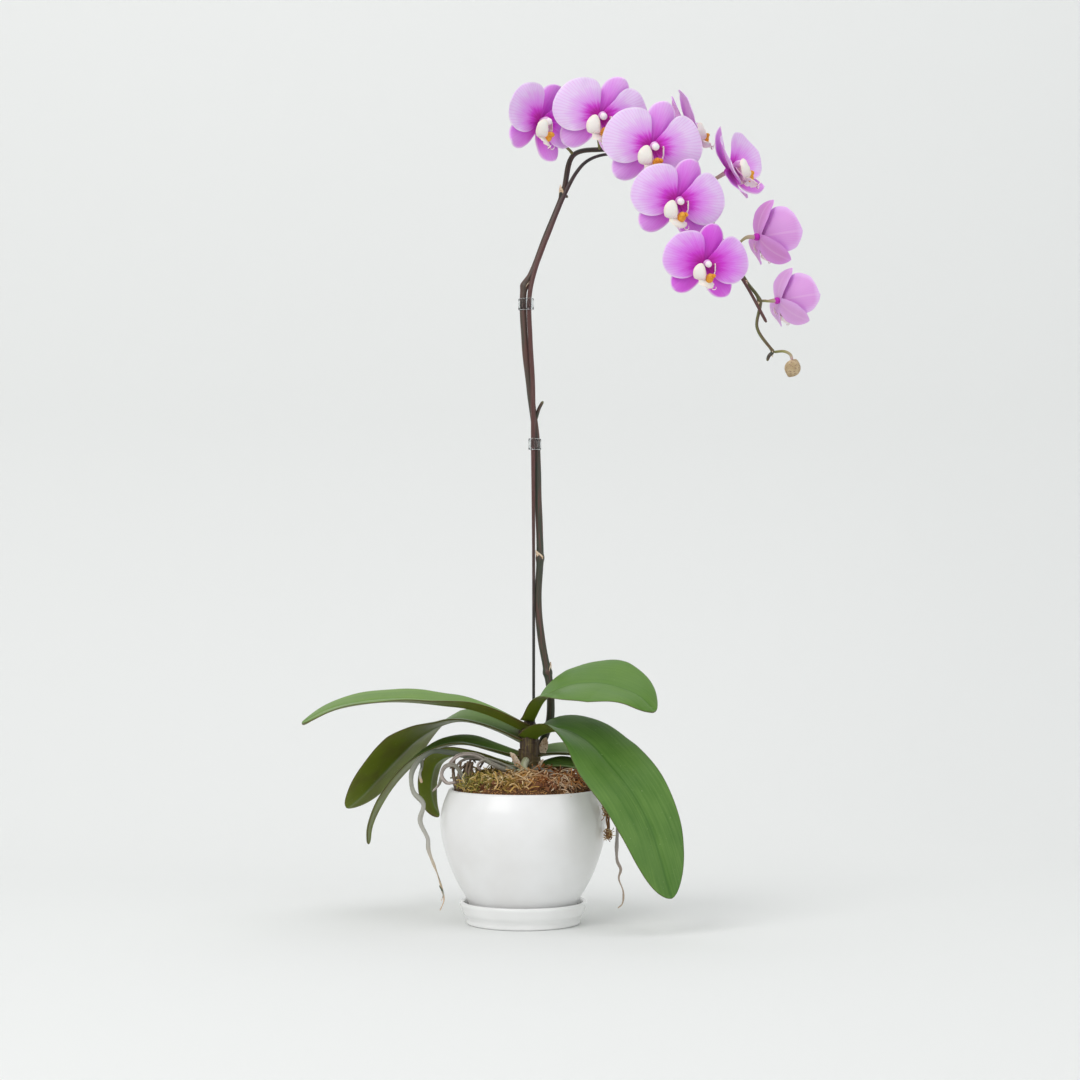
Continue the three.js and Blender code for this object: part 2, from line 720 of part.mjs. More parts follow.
const roots = {
  // Out of the stem, over the left leaves' shadow and down beside the pot, with a short branch.
  root_long_left: {
    line: [
      [2, -4, 122],
      [-18, -10, 122.5],
      [-29, -11, 127.5],
      [-46, -9, 130.5],
      [-58, -7, 133],
      [-70, -5, 133.5],
      [-79, -5, 128.5],
      [-86, -6, 119],
      [-87, -7, 110.5],
      [-85, -7, 102],
      [-77.5, -8, 93],
      [-80, -8, 80],
      [-74, -8, 66],
      [-73.5, -8, 58],
      [-66.5, -8, 38.7],
      [-63, -8, 27],
      [-61.5, -8, 18.5],
      [-64.5, -8, 10.7],
    ],
    radius: [[0, 2.2], [0.3, 1.8], [0.76, 1.65], [0.88, 0.75], [1, 0.55]],
    branch: [[-79, -5, 128.5], [-79, -3, 121], [-80.5, -3, 116], [-79, -3, 109]],
    steps: 34,
  },
  // A shorter one beside it that curls down at its end.
  root_bundle_left: {
    line: [
      [3, -5, 117], [-13, -16, 120], [-24, -18, 125], [-38, -17, 132], [-50, -15, 131],
      [-58, -14, 124],
    ],
    radius: [[0, 2], [1, 1.4]],
    steps: 14,
  },
  // Up out of the medium, round in a loop over the rim, with a short branch outside it.
  root_loop_left: {
    line: [
      [-43, -22, 104], [-47, -22, 116], [-53, -20, 124], [-60, -18, 123], [-63, -17, 116],
      [-59, -19, 110.5], [-52, -22, 111],
    ],
    radius: [[0, 1.8], [1, 1.4]],
    branch: [[-63, -17, 116], [-65, -16, 109], [-70, -15, 103.5]],
    steps: 16,
  },
  root_front: {
    line: [[3, -6, 127], [0.5, -11, 122], [2.5, -14, 117], [6, -18, 109], [8, -20, 101]],
    radius: [[0, 2.9], [1, 2.3]],
    steps: 8,
  },
  root_side: {
    line: [[6, -4, 121.5], [13, -12, 120], [21, -16, 118], [27, -18, 112], [29, -19, 104]],
    radius: [[0, 2.2], [1, 1.7]],
    steps: 8,
  },
  // Out over the right rim and down behind the lowest leaf.
  root_long_right: {
    line: [
      [38, 2, 104],
      [46, 3, 114],
      [56, 4, 113],
      [66, 4, 105],
      [72, 4, 93],
      [73.5, 4, 79],
      [73.2, 4, 48],
      [76, 4, 41],
      [74.5, 4, 34],
      [78, 4, 23.4],
      [77.1, 4, 14],
      [73.8, 4, 10.8],
    ],
    radius: [[0, 2.1], [0.7, 1.7], [0.85, 0.9], [1, 0.7]],
    steps: 26,
  },
};

function root({ line, radius, branch, steps }, grow = 0) {
  const main = stalk(line.map(draped), radius, { sides: 6, steps, grow });
  if (!branch) return main;
  return join([main, stalk(branch.map(draped), 1.2 + grow, { sides: 5, steps: 4 })]);
}

const rootFinish = finish("#a9aa98", 0.7);
Object.entries(roots).forEach(([name, spec]) => {
  addPiece(name, cut(root(spec), [crownStem(GAP)]), rootFinish.clone());
});

// ---- Growing medium ----

const hangingMossLine = [
  [47, -16, 103],
  [54, -20, 110.5],
  [62, -23.5, 104],
  [64, -25, 92],
  [65, -24.5, 80],
  [66, -23, 67],
].map(draped);
const hangingMoss = (grow = 0) => stalk(hangingMossLine, 2.7 + grow, { sides: 6, steps: 9 });
addPiece("hanging_moss", hangingMoss(), finish("#7a5c3a", 0.95));

function medium() {
  const edgeRadius = POT_RIM_RADIUS - POT_WALL - GAP;
  const walls = potInside().map(([r, z], i) => [r - GAP, i === 0 ? z + GAP : z]);
  const mound = [
    [0.94, 0.4],
    [0.81, 0.68],
    [0.55, 0.88],
    [0, 1],
  ].map(([out, up]) => [edgeRadius * out, mediumEdge + MEDIUM_MOUND * up]);
  const profile = [[0, potBase + POT_FLOOR + GAP], ...walls, [edgeRadius, mediumEdge], ...mound];
  const enters = ([x, y, z]) => z < mediumTop && Math.hypot(x, y) < edgeRadius;
  const buried = Object.values(roots).filter(({ line }) => line.map(draped).some(enters));
  const pockets = [crownStem(GAP), stake(GAP), hangingMoss(GAP), ...buried.map((spec) => root(spec, GAP))];
  return cut(lathe(profile), pockets);
}

addPiece("potting_medium", medium(), finish("#7d5c36", 0.95));

// ---- Clips that hold the spike to the stake ----

function atHeight(line, z) {
  const curve = new THREE.CatmullRomCurve3(toVectors(line), false, "centripetal");
  const samples = curve.getSpacedPoints(400);
  return samples.find((point) => point.z >= z);
}

function clip(z) {
  const [a, b] = [stakeLine, spikeLine].map((line) => atHeight(line, z + CLIP_HEIGHT / 2));
  const half = Math.hypot(b.x - a.x, b.y - a.y) / 2;
  const inner = SPIKE_RADIUS + GAP;
  const loop = (Path, radius) => {
    const path = new Path();
    path.absarc(half, 0, radius, -Math.PI / 2, Math.PI / 2, false);
    path.absarc(-half, 0, radius, Math.PI / 2, (3 * Math.PI) / 2, false);
    path.closePath();
    return path;
  };
  const outline = loop(THREE.Shape, inner + CLIP_WALL);
  outline.holes.push(loop(THREE.Path, inner));
  const settings = { depth: CLIP_HEIGHT, bevelEnabled: false, curveSegments: 5 };
  const band = new THREE.ExtrudeGeometry(outline, settings);
  band.rotateZ(Math.atan2(b.y - a.y, b.x - a.x));
  return band.translate((a.x + b.x) / 2, (a.y + b.y) / 2, z);
}

addPiece("clip_lower", clip(lifted([0, 0, CLIP_LOWER_Z])[2]), finish("#dfe3e4", 0.15));
addPiece("clip_upper", clip(lifted([0, 0, CLIP_UPPER_Z])[2]), finish("#dfe3e4", 0.15));

export default orchid;
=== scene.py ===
"""A potted moth orchid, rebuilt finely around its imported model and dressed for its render.

Shapes are worked out in millimetres and become metres in their meshes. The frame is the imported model's: +Z
up, the origin at the centre of the saucer's underside, and the front row of flowers facing -Y.
"""

from __future__ import annotations

import logging
import math
from dataclasses import dataclass
from enum import Enum
from typing import Callable, Mapping, Sequence

import bmesh
import bpy
import numpy as np
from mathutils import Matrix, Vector

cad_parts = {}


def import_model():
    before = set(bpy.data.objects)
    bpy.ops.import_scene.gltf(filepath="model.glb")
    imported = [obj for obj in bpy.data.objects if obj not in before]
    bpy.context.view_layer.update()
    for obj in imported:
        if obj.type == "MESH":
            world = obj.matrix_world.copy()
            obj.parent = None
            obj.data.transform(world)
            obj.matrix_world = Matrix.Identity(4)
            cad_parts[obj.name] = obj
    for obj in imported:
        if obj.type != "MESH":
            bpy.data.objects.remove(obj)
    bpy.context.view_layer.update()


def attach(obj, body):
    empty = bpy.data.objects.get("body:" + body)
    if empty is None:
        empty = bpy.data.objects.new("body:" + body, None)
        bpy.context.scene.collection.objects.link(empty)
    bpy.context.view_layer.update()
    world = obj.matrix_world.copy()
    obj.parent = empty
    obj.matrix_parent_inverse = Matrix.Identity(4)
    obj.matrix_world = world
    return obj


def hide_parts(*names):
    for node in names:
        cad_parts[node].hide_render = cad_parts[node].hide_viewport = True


MM = 0.001
log = logging.getLogger("orchid")

Stops = Sequence[tuple[float, float]]
Point = Sequence[float]
Shades = tuple[tuple[float, str], ...]


# ---- Shapes ----


def spread(stops: float | Stops, shares: np.ndarray) -> np.ndarray:
    """A value that runs through stops along a piece.

    Args:
        stops: One value, or (share of the length, value) pairs.
        shares: Where it is wanted, from 0 to 1.

    Returns:
        The value at each share.
    """
    if isinstance(stops, (int, float)):
        return np.full(len(shares), float(stops))
    places, values = zip(*stops)
    return np.interp(shares, places, values)


def ripple(points: np.ndarray, length: float, seed: int, octaves: int = 3) -> np.ndarray:
    """A smooth uneven field, about -1 to 1.

    Args:
        points: Places in millimetres, one a row.
        length: The longest wave in millimetres.
        seed: What fixes the pattern.
        octaves: How many times finer waves are added.

    Returns:
        The field at each point.
    """
    random = np.random.default_rng(seed)
    total = np.zeros(len(points))
    for octave in range(octaves):
        for _ in range(4):
            way = random.normal(size=3)
            way /= np.linalg.norm(way)
            turn = points @ way * (2 * math.pi * 2**octave / length) + random.uniform(0, 2 * math.pi)
            total += np.sin(turn) / (2.2 * 2**octave)
    return total / 1.6


def unit(rows: np.ndarray) -> np.ndarray:
    """Each row at length one."""
    return rows / np.maximum(np.linalg.norm(rows, axis=-1, keepdims=True), 1e-12)


def turned(rows: np.ndarray, axis: np.ndarray, angle: np.ndarray | float) -> np.ndarray:
    """Rows turned about their axes.

    Args:
        rows: Vectors, one a row.
        axis: Unit axes, one for all or one a row.
        angle: Radians, one for all or one a row.

    Returns:
        The turned vectors.
    """
    angle = np.broadcast_to(np.asarray(angle, float), (len(rows),))[:, None]
    axis = np.broadcast_to(axis, rows.shape)
    along = np.sum(rows * axis, axis=1, keepdims=True)
    return rows * np.cos(angle) + np.cross(axis, rows) * np.sin(angle) + axis * along * (1 - np.cos(angle))


class Line:
    """A smooth curve through points, measured along its length."""

    def __init__(self, points: Sequence[Point]) -> None:
        """Fits the curve.

        Args:
            points: The points that it goes through, in millimetres.
        """
        given = np.asarray(points, float)
        whole = np.vstack([2 * given[0] - given[1], given, 2 * given[-1] - given[-2]])
        steps = np.linspace(0, 1, 60, endpoint=False)[:, None]
        pieces = []
        for p0, p1, p2, p3 in zip(whole, whole[1:], whole[2:], whole[3:]):
            d0, d1, d2 = (max(np.linalg.norm(b - a), 1e-6) ** 0.5 for a, b in ((p0, p1), (p1, p2), (p2, p3)))
            leave = ((p1 - p0) / d0 - (p2 - p0) / (d0 + d1) + (p2 - p1) / d1) * d1
            meet = ((p2 - p1) / d1 - (p3 - p1) / (d1 + d2) + (p3 - p2) / d2) * d1
            square = -3 * p1 + 3 * p2 - 2 * leave - meet
            cube = 2 * p1 - 2 * p2 + leave + meet
            pieces.append(p1 + leave * steps + square * steps**2 + cube * steps**3)
        self.dense = np.vstack([*pieces, given[-1:]])
        gaps = np.linalg.norm(np.diff(self.dense, axis=0), axis=1)
        self.reach = np.concatenate([[0], np.cumsum(gaps)])
        self.length = float(self.reach[-1])

    def at(self, shares: np.ndarray) -> np.ndarray:
        """The points at shares of the length."""
        wanted = np.asarray(shares) * self.length
        return np.column_stack([np.interp(wanted, self.reach, self.dense[:, k]) for k in range(3)])

    def ways(self, shares: np.ndarray) -> np.ndarray:
        """The directions at shares of the length.

        Args:
            shares: Places along the length.

        Returns:
            Unit directions, one a row.
        """
        nudge = 0.004
        low, high = np.clip(shares - nudge, 0, 1), np.clip(shares + nudge, 0, 1)
        return unit(self.at(high) - self.at(low))

    def frames(self, shares: np.ndarray) -> tuple[np.ndarray, np.ndarray]:
        """Two directions across the curve that twist as little as they can.

        Args:
            shares: Places along the length.

        Returns:
            The two sets of directions, one a row.
        """
        ways = self.ways(shares)
        seed = np.eye(3)[int(np.argmin(np.abs(ways[0])))]
        side = unit(np.cross(ways[0], seed)[None])[0]
        sides = []
        for way in ways:
            side = side - way * np.dot(side, way)
            side /= np.linalg.norm(side)
            sides.append(side)
        rows = np.array(sides)
        return rows, np.cross(ways, rows)


@dataclass
class Surface:
    """A closed mesh in millimetres, with what its finish reads at each point.

    place holds shares: across and along a blade, and its face; span holds lengths in millimetres.
    """

    points: np.ndarray
    faces: list[tuple[int, ...]]
    place: np.ndarray
    span: np.ndarray

    def moved(self, matrix: np.ndarray, to: Point) -> Surface:
        """The surface after a linear map and a move.

        Args:
            matrix: Three rows that a point is multiplied by.
            to: Where the old origin goes.

        Returns:
            The moved copy.
        """
        return Surface(self.points @ matrix.T + np.asarray(to), self.faces, self.place, self.span)


def joined(parts: Sequence[Surface]) -> Surface:
    """Several surfaces as one.

    Args:
        parts: The surfaces.

    Returns:
        One surface with all their faces.
    """
    faces: list[tuple[int, ...]] = []
    start = 0
    for part in parts:
        faces += [tuple(v + start for v in f) for f in part.faces]
        start += len(part.points)
    stacks = (np.vstack([getattr(p, name) for p in parts]) for name in ("points", "place", "span"))
    points, place, span = stacks
    return Surface(points, faces, place, span)


def skin(rings: np.ndarray, place: np.ndarray, span: np.ndarray) -> Surface:
    """A skin over rings, with its ends closed.

    Args:
        rings: Points as (ring, point on the ring, xyz).
        place: The same for what place holds.
        span: The same for what span holds.

    Returns:
        The closed surface.
    """
    count, around = rings.shape[:2]
    faces: list[tuple[int, ...]] = []
    for k in range(count - 1):
        low, high = k * around, (k + 1) * around
        for i in range(around):
            j = (i + 1) % around
            faces.append((low + i, low + j, high + j, high + i))
    middles = np.array([rings[0].mean(0), rings[-1].mean(0)])
    first, last = count * around, count * around + 1
    for i in range(around):
        j = (i + 1) % around
        faces.append((first, j, i))
        faces.append((last, (count - 1) * around + i, (count - 1) * around + j))
    ends = [np.vstack([block.reshape(-1, 3), block[0].mean(0), block[-1].mean(0)]) for block in (place, span)]
    return Surface(np.vstack([rings.reshape(-1, 3), middles]), faces, ends[0], ends[1])


Swell = Callable[[np.ndarray, np.ndarray, np.ndarray], np.ndarray]


def tube(line: Line, radius: float | Stops, sides: int = 14, steps: int = 80, swell: Swell | None = None) -> Surface:
    """A round stem along a curve.

    Args:
        line: The curve.
        radius: Its radius in millimetres along its length.
        sides: Points around it.
        steps: Rings along it.
        swell: How far each point stands off the round, from its turn, its millimetres along and its share.

    Returns:
        The stem. Its span is the same stem pulled straight, so that a grain can follow it.
    """
    shares = np.linspace(0, 1, steps + 1)
    turns = np.linspace(0, 2 * math.pi, sides, endpoint=False)
    round_end = np.clip(np.minimum(shares, 1 - shares) * line.length / 1.2, 0.25, 1) ** 0.5
    radii = (spread(radius, shares) * round_end)[:, None] * np.ones(sides)
    if swell:
        radii = radii + swell(
            turns[None] + 0 * radii, (shares * line.length)[:, None] + 0 * radii, shares[:, None] + 0 * radii
        )
    one, two = line.frames(shares)
    across = one[:, None] * np.cos(turns)[None, :, None] + two[:, None] * np.sin(turns)[None, :, None]
    rings = line.at(shares)[:, None] + across * radii[..., None]
    reach = np.broadcast_to((shares * line.length)[:, None], radii.shape)
    span = np.stack([radii * np.cos(turns), radii * np.sin(turns), reach], axis=-1)
    place = np.stack([np.broadcast_to(shares[:, None], radii.shape), np.zeros(radii.shape), np.ones(radii.shape)], -1)
    return skin(rings, place, span)


@dataclass(frozen=True)
class Outline:
    """How wide a leaf or petal is along its length, from a claw at its base to a round end."""

    claw: float
    widest: float
    bluntness: float
    swell: float = 1.6
    fall: float = 0.6

    def width(self, share: np.ndarray) -> np.ndarray:
        """The width as a share of the greatest.

        Args:
            share: Places along the length.

        Returns:
            The width at each.
        """
        rise = np.sin(np.pi / 2 * np.minimum(1, share / self.widest)) ** self.swell
        past = np.clip((share - self.widest) / (1 - self.widest), 0, 1)
        return (self.claw + (1 - self.claw) * rise) * np.clip(1 - past**self.bluntness, 0, 1) ** self.fall

    def sides(self, share: np.ndarray, uneven: float) -> tuple[np.ndarray, np.ndarray]:
        """The width to each side, pushed towards the tip on one and the base on the other."""
        return self.width(share ** (1 + uneven)), self.width(share ** (1 - uneven))


@dataclass(frozen=True)
class Lobes:
    """A petal that isn't alike on both sides: how far each reaches, through points along it."""

    right: Stops
    left: Stops

    def sides(self, share: np.ndarray, uneven: float) -> tuple[np.ndarray, np.ndarray]:
        """The width to each side, as shares of half the blade's width.

        Args:
            share: Places along the length.
            uneven: Not used, because the two sides differ already.

        Returns:
            The widths to the right and to the left.
        """
        made = []
        for stops in (self.right, self.left):
            dense = Line([(at, value, 0) for at, value in stops]).dense
            made.append(np.maximum(np.interp(share, np.maximum.accumulate(dense[:, 0]), dense[:, 1]), 0.01))
        return made[0], made[1]


@dataclass(frozen=True)
class Blade:
    """A leaf-like blade along a midrib. Angles are degrees, lengths millimetres."""

    outline: Outline | Lobes
    width: float
    thickness: float
    fold: float | Stops = 0
    roll: float | Stops = 0
    camber: float | Stops = 0
    uneven: float = 0.0
    groove: float = 0.0
    frill: float = 0.0
    waves: float = 3.0
    across: int = 33
    steps: int = 60
    seed: int = 1

    def surface(self, midrib: Sequence[Point], sideways: Point) -> Surface:
        """The blade as a closed surface.

        Args:
            midrib: The points that its middle goes through.
            sideways: The direction level across its base.

        Returns:
            The blade. place is (side from -1 to 1, share along, face from -1 to 1); span is millimetres
            across, along and in from the edge.
        """
        line = Line(midrib)
        shares = 1 - (1 - np.arange(self.steps + 1) / (self.steps + 0.3)) ** 1.5
        middle, ways = line.at(shares), line.ways(shares)
        level = np.asarray(sideways, float)
        side = unit(level - ways * (ways @ level)[:, None])
        side = turned(side, ways, np.radians(spread(self.roll, shares)))
        up = np.cross(side, ways)
        lift = np.tan(np.radians(spread(self.fold, shares)))[:, None]
        camber = spread(self.camber, shares)[:, None]

        spots = -np.cos(np.linspace(0, np.pi, self.across))
        loop = np.concatenate([spots, spots[1:-1][::-1]])[None]
        face = np.concatenate([np.ones(self.across), -np.ones(self.across - 2)])[None]
        right, left = self.outline.sides(shares, self.uneven)
        half = self.width / 2 * np.where(loop > 0, right[:, None], left[:, None])
        edge = np.abs(loop)
        slim = np.clip(half / (1.5 * self.thickness), 0.02, 1) ** 0.5
        thick = self.thickness / 2 * slim * np.sqrt(np.clip(1 - edge**5, 0, 1)) * face
        soft = np.sqrt(edge**2 + 0.012) - math.sqrt(0.012)
        crease = -self.groove * np.exp(-((half * loop / 1.8) ** 2)) * np.clip(half / 6, 0, 1)
        reach = (shares * line.length)[:, None]
        random = np.random.default_rng(self.seed)
        phase = random.uniform(0, 2 * math.pi, 4)
        wave = np.sin(shares[:, None] * 2 * math.pi * self.waves + phase[0] + np.sign(loop) * phase[1])
        wave = wave + 0.5 * np.sin(shares[:, None] * 4.3 * math.pi * self.waves + phase[2] * np.sign(loop) + phase[3])
        frill = self.frill * wave * edge**3 * np.clip(shares[:, None] * 2, 0, 1)
        rise = half * (lift * soft - camber * loop**2) + thick + crease + frill

        rings = middle[:, None] + side[:, None] * (half * loop)[..., None] + up[:, None] * rise[..., None]
        along = np.broadcast_to(shares[:, None], half.shape)
        place = np.stack(
            [
                np.broadcast_to(loop, half.shape), along,
                np.broadcast_to(face * np.clip((1 - edge) * 40, 0, 1), half.shape)
            ],
            -1
        )
        inset = np.minimum(half * (1 - edge), (1 - shares)[:, None] * line.length)
        span = np.stack([half * loop, np.broadcast_to(reach, half.shape), inset], -1)
        return skin(rings, place, span)


def spun(outline: np.ndarray, around: int) -> np.ndarray:
    """Rings about the z axis.

    Args:
        outline: Rows that start with a radius and a height.
        around: Points around each ring.

    Returns:
        Points as (ring, point on the ring, xyz).
    """
    turns = np.linspace(0, 2 * math.pi, around, endpoint=False)
    reach, height = outline[:, :1], outline[:, 1:2]
    return np.stack([reach * np.cos(turns), reach * np.sin(turns), height + 0 * turns], -1)


def looped(rings: np.ndarray) -> Surface:
    """A skin over rings whose last meets the first.

    Args:
        rings: Points as (ring, point on the ring, xyz).

    Returns:
        The closed surface.
    """
    count, around = rings.shape[:2]
    faces: list[tuple[int, ...]] = []
    for k in range(count):
        low, high = k * around, (k + 1) % count * around
        for i in range(around):
            j = (i + 1) % around
            faces.append((low + i, low + j, high + j, high + i))
    points = rings.reshape(-1, 3)
    return Surface(points, faces, np.zeros(points.shape), points.copy())


def revolved(profile: Sequence[Point], around: int = 128, fine: int = 6) -> Surface:
    """A turned shape whose outline is smoothed through its points.

    Args:
        profile: (radius, height) points from the axis at the bottom, round, to the axis at the top.
        around: Points around it.
        fine: Rings for each stretch of the outline.

    Returns:
        The closed surface. Its span is the same as its place in space.
    """
    line = Line([(r, z, 0) for r, z in profile])
    outline = line.at(np.linspace(0, 1, fine * (len(profile) - 1) + 1))
    outline[:, 0] = np.maximum(outline[:, 0], 0.02)
    rings = spun(outline, around)
    return skin(rings, np.zeros(rings.shape), rings.copy())


def blob(radii: Point, rings: int = 16, around: int = 24) -> Surface:
    """An egg with the given radii, its poles on the z axis.

    Args:
        radii: Its radii in millimetres.
        rings: Rings from pole to pole.
        around: Points around each ring.

    Returns:
        The closed egg.
    """
    tilt = np.linspace(0.04, math.pi - 0.04, rings)
    turns = np.linspace(0, 2 * math.pi, around, endpoint=False)
    flat = np.sin(tilt)[:, None]
    points = np.stack(
        [
            flat * np.cos(turns) * radii[0], flat * np.sin(turns) * radii[1],
            -np.cos(tilt)[:, None] * radii[2] + 0 * turns
        ],
        -1
    )
    share = np.stack(
        [
            np.broadcast_to((tilt / math.pi)[:, None], flat.shape[:1] + turns.shape), np.zeros(points.shape[:2]),
            np.ones(points.shape[:2])
        ],
        -1
    )
    return skin(points, share, points.copy())


# ---- Making objects ----


def plain_mesh(name: str, surface: Surface) -> bpy.types.Object:
    """A smooth mesh object at the origin, its faces outwards.

    Args:
        name: The object's name.
        surface: Its shape in millimetres.

    Returns:
        The object, in metres.
    """
    mesh = bpy.data.meshes.new(name)
    mesh.from_pydata((surface.points * MM).tolist(), [], surface.faces)
    for label, rows in (("place", surface.place), ("span", surface.span)):
        layer = mesh.attributes.new(label, "FLOAT_VECTOR", "POINT")
        layer.data.foreach_set("vector", rows.astype(np.float32).ravel())
    work = bmesh.new()
    work.from_mesh(mesh)
    bmesh.ops.recalc_face_normals(work, faces=work.faces[:])
    work.to_mesh(mesh)
    work.free()
    mesh.polygons.foreach_set("use_smooth", [True] * len(mesh.polygons))
    obj = bpy.data.objects.new(name, mesh)
    bpy.context.scene.collection.objects.link(obj)
    return obj


def piece(name: str, surface: Surface, finish: Finish, slot: str, *stands_for: str) -> bpy.types.Object:
    """A surface as a finished piece, dressed and tied to the frame."""
    return placed(plain_mesh(name, surface), finish, slot, *stands_for)


def placed(obj: bpy.types.Object, finish: Finish, slot: str, *stands_for: str) -> bpy.types.Object:
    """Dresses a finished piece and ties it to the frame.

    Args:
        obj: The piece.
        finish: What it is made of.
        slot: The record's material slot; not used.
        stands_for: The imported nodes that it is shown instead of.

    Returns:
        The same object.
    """
    obj.data.materials.clear()
    obj.data.materials.append(finish.material())
    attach(obj, "root")
    if stands_for:
        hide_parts(*stands_for)
    log.info("%s: %d faces of %s", obj.name, len(obj.data.polygons), finish.name)
    return obj


# ---- Finishes ----


def linear(code: str) -> tuple[float, float, float, float]:
    """An sRGB hex colour as linear light."""
    parts = [int(code.lstrip("#")[i : i + 2], 16) / 255 for i in (0, 2, 4)]
    red, green, blue = (p / 12.92 if p <= 0.04045 else ((p + 0.055) / 1.055) ** 2.4 for p in parts)
    return red, green, blue, 1.0


Links = Mapping["str | int", object]
Tree = bpy.types.NodeTree
Socket = bpy.types.NodeSocket


def add(tree: Tree, kind: str, links: Links | None = None, stops: Shades = (), **settings: object) -> bpy.types.Node:
    """Adds a node with its settings and links.

    Args:
        tree: Where it goes.
        kind: Its type.
        links: Each input by name or number, as a socket to link, an sRGB hex colour or a value.
        stops: For a colour ramp, (place, sRGB hex colour) pairs.
        settings: Its own properties.

    Returns:
        The node.
    """
    node = tree.nodes.new(kind)
    for label, value in settings.items():
        setattr(node, label, value)
    for label, value in (links or {}).items():
        socket = node.inputs[label]
        if isinstance(value, Socket):
            tree.links.new(value, socket)
        else:
            coded = isinstance(value, str) and value.startswith("#")
            socket.default_value = linear(value) if coded else value
    if stops:
        elements = node.color_ramp.elements
        while len(elements) < len(stops):
            elements.new(0.5)
        for element, (at, code) in zip(elements, stops):
            element.position, element.color = at, linear(code)
    return node


class Pattern:
    """A material's nodes, added by short calls that each give the socket to use next."""

    def __init__(self, material: bpy.types.Material) -> None:
        """Starts on a material that has its shader."""
        self.tree = material.node_tree
        self.shader = self.tree.nodes["Principled BSDF"]

    def set(self, **values: object) -> None:
        """Gives the shader constants, each by its socket's name with _ for a space."""
        for label, value in values.items():
            self.shader.inputs[label.replace("_", " ")].default_value = value

    def feed(self, label: str, value: Socket) -> None:
        """Links a socket to one of the shader's."""
        self.tree.links.new(value, self.shader.inputs[label])

    def spot(self) -> Socket:
        """Object coordinates."""
        return add(self.tree, "ShaderNodeTexCoord").outputs["Object"]

    def read(self, label: str, output: str = "Vector") -> Socket:
        """One of the mesh's own attributes."""
        return add(self.tree, "ShaderNodeAttribute", attribute_name=label).outputs[output]

    def split(self, vector: Socket) -> tuple[Socket, ...]:
        """A vector's three numbers."""
        return tuple(add(self.tree, "ShaderNodeSeparateXYZ", {"Vector": vector}).outputs)

    def flat(self, x: Socket, y: Socket) -> Socket:
        """A vector from two numbers."""
        return add(self.tree, "ShaderNodeCombineXYZ", {"X": x, "Y": y}).outputs["Vector"]

    def stretched(self, vector: Socket, *scale: float) -> Socket:
        """A vector scaled along each axis."""
        return add(self.tree, "ShaderNodeMapping", {"Vector": vector, "Scale": scale}).outputs["Vector"]

    def noise(self, where: Socket, detail: float, scale: float = 1.0, rough: float = 0.5) -> Socket:
        """Cloudy noise at a place."""
        links = {"Vector": where, "Scale": scale, "Detail": detail, "Roughness": rough}
        return add(self.tree, "ShaderNodeTexNoise", links).outputs["Fac"]

    def wave(self, where: Socket, scale: float, distortion: float, detail: float, fine: float = 1.0) -> Socket:
        """Wavering bands across x."""
        links = {"Vector": where, "Scale": scale, "Distortion": distortion, "Detail": detail, "Detail Scale": fine}
        return add(self.tree, "ShaderNodeTexWave", links, wave_type="BANDS", bands_direction="X").outputs["Fac"]

    def ranged(
        self, value: Socket, low: float, high: float, start: float = 0.0, end: float = 1.0, smooth: bool = False
    ) -> Socket:
        """A value carried from one range to another.

        Args:
            value: The value.
            low: Where the range starts.
            high: Where it ends.
            start: What low becomes.
            end: What high becomes.
            smooth: True to ease in and out.

        Returns:
            The carried value.
        """
        links = {"Value": value, "From Min": low, "From Max": high, "To Min": start, "To Max": end}
        kind = "SMOOTHSTEP" if smooth else "LINEAR"
        return add(self.tree, "ShaderNodeMapRange", links, interpolation_type=kind).outputs["Result"]

    def math(self, operation: str, *values: Socket | float) -> Socket:
        """A sum of one, two or three values."""
        return add(self.tree, "ShaderNodeMath", dict(enumerate(values)), operation=operation).outputs["Value"]

    def mix(self, share: Socket | float, one: Socket | str, two: Socket | str, blend: str = "MIX") -> Socket:
        """Two colours mixed."""
        return add(
            self.tree, "ShaderNodeMix", {0: share, 6: one, 7: two}, data_type="RGBA", blend_type=blend
        ).outputs[2]

    def ramp(self, value: Socket, stops: Shades) -> Socket:
        """A colour that runs through stops."""
        return add(self.tree, "ShaderNodeValToRGB", {"Fac": value}, stops).outputs["Color"]

    def bump(self, height: Socket, depth: float) -> None:
        """Raises the surface by a pattern, depth millimetres high."""
        node = add(self.tree, "ShaderNodeBump", {"Height": height, "Strength": 1.0, "Distance": depth * MM})
        self.feed("Normal", node.outputs["Normal"])


@dataclass(frozen=True)
class Finish:
    """What a piece is made of. Lengths are millimetres."""

    name: str
    roughness: float = 0.5
    ior: float = 1.45
    coat: float = 0.0
    scatter: float = 0.0

    def material(self) -> bpy.types.Material:
        """Makes the material, once for each name.

        Returns:
            The material.
        """
        found = bpy.data.materials.get(self.name)
        if found:
            return found
        material = bpy.data.materials.new(self.name)
        material.use_nodes = True
        nodes = Pattern(material)
        nodes.set(Roughness=self.roughness, IOR=self.ior, Coat_Weight=self.coat, Coat_Roughness=0.12)
        if self.scatter:
            nodes.set(Subsurface_Weight=self.scatter, Subsurface_Radius=(1.0, 0.5, 0.6), Subsurface_Scale=1.5 * MM)
        self.dress(nodes)
        return material

    def dress(self, nodes: Pattern) -> None:
        """Adds the pattern to the material's nodes."""
        raise NotImplementedError

    def scale(self, millimetres: float) -> float:
        """A texture's scale on Object coordinates for features of that size."""
        return 1.0 / (millimetres * MM)


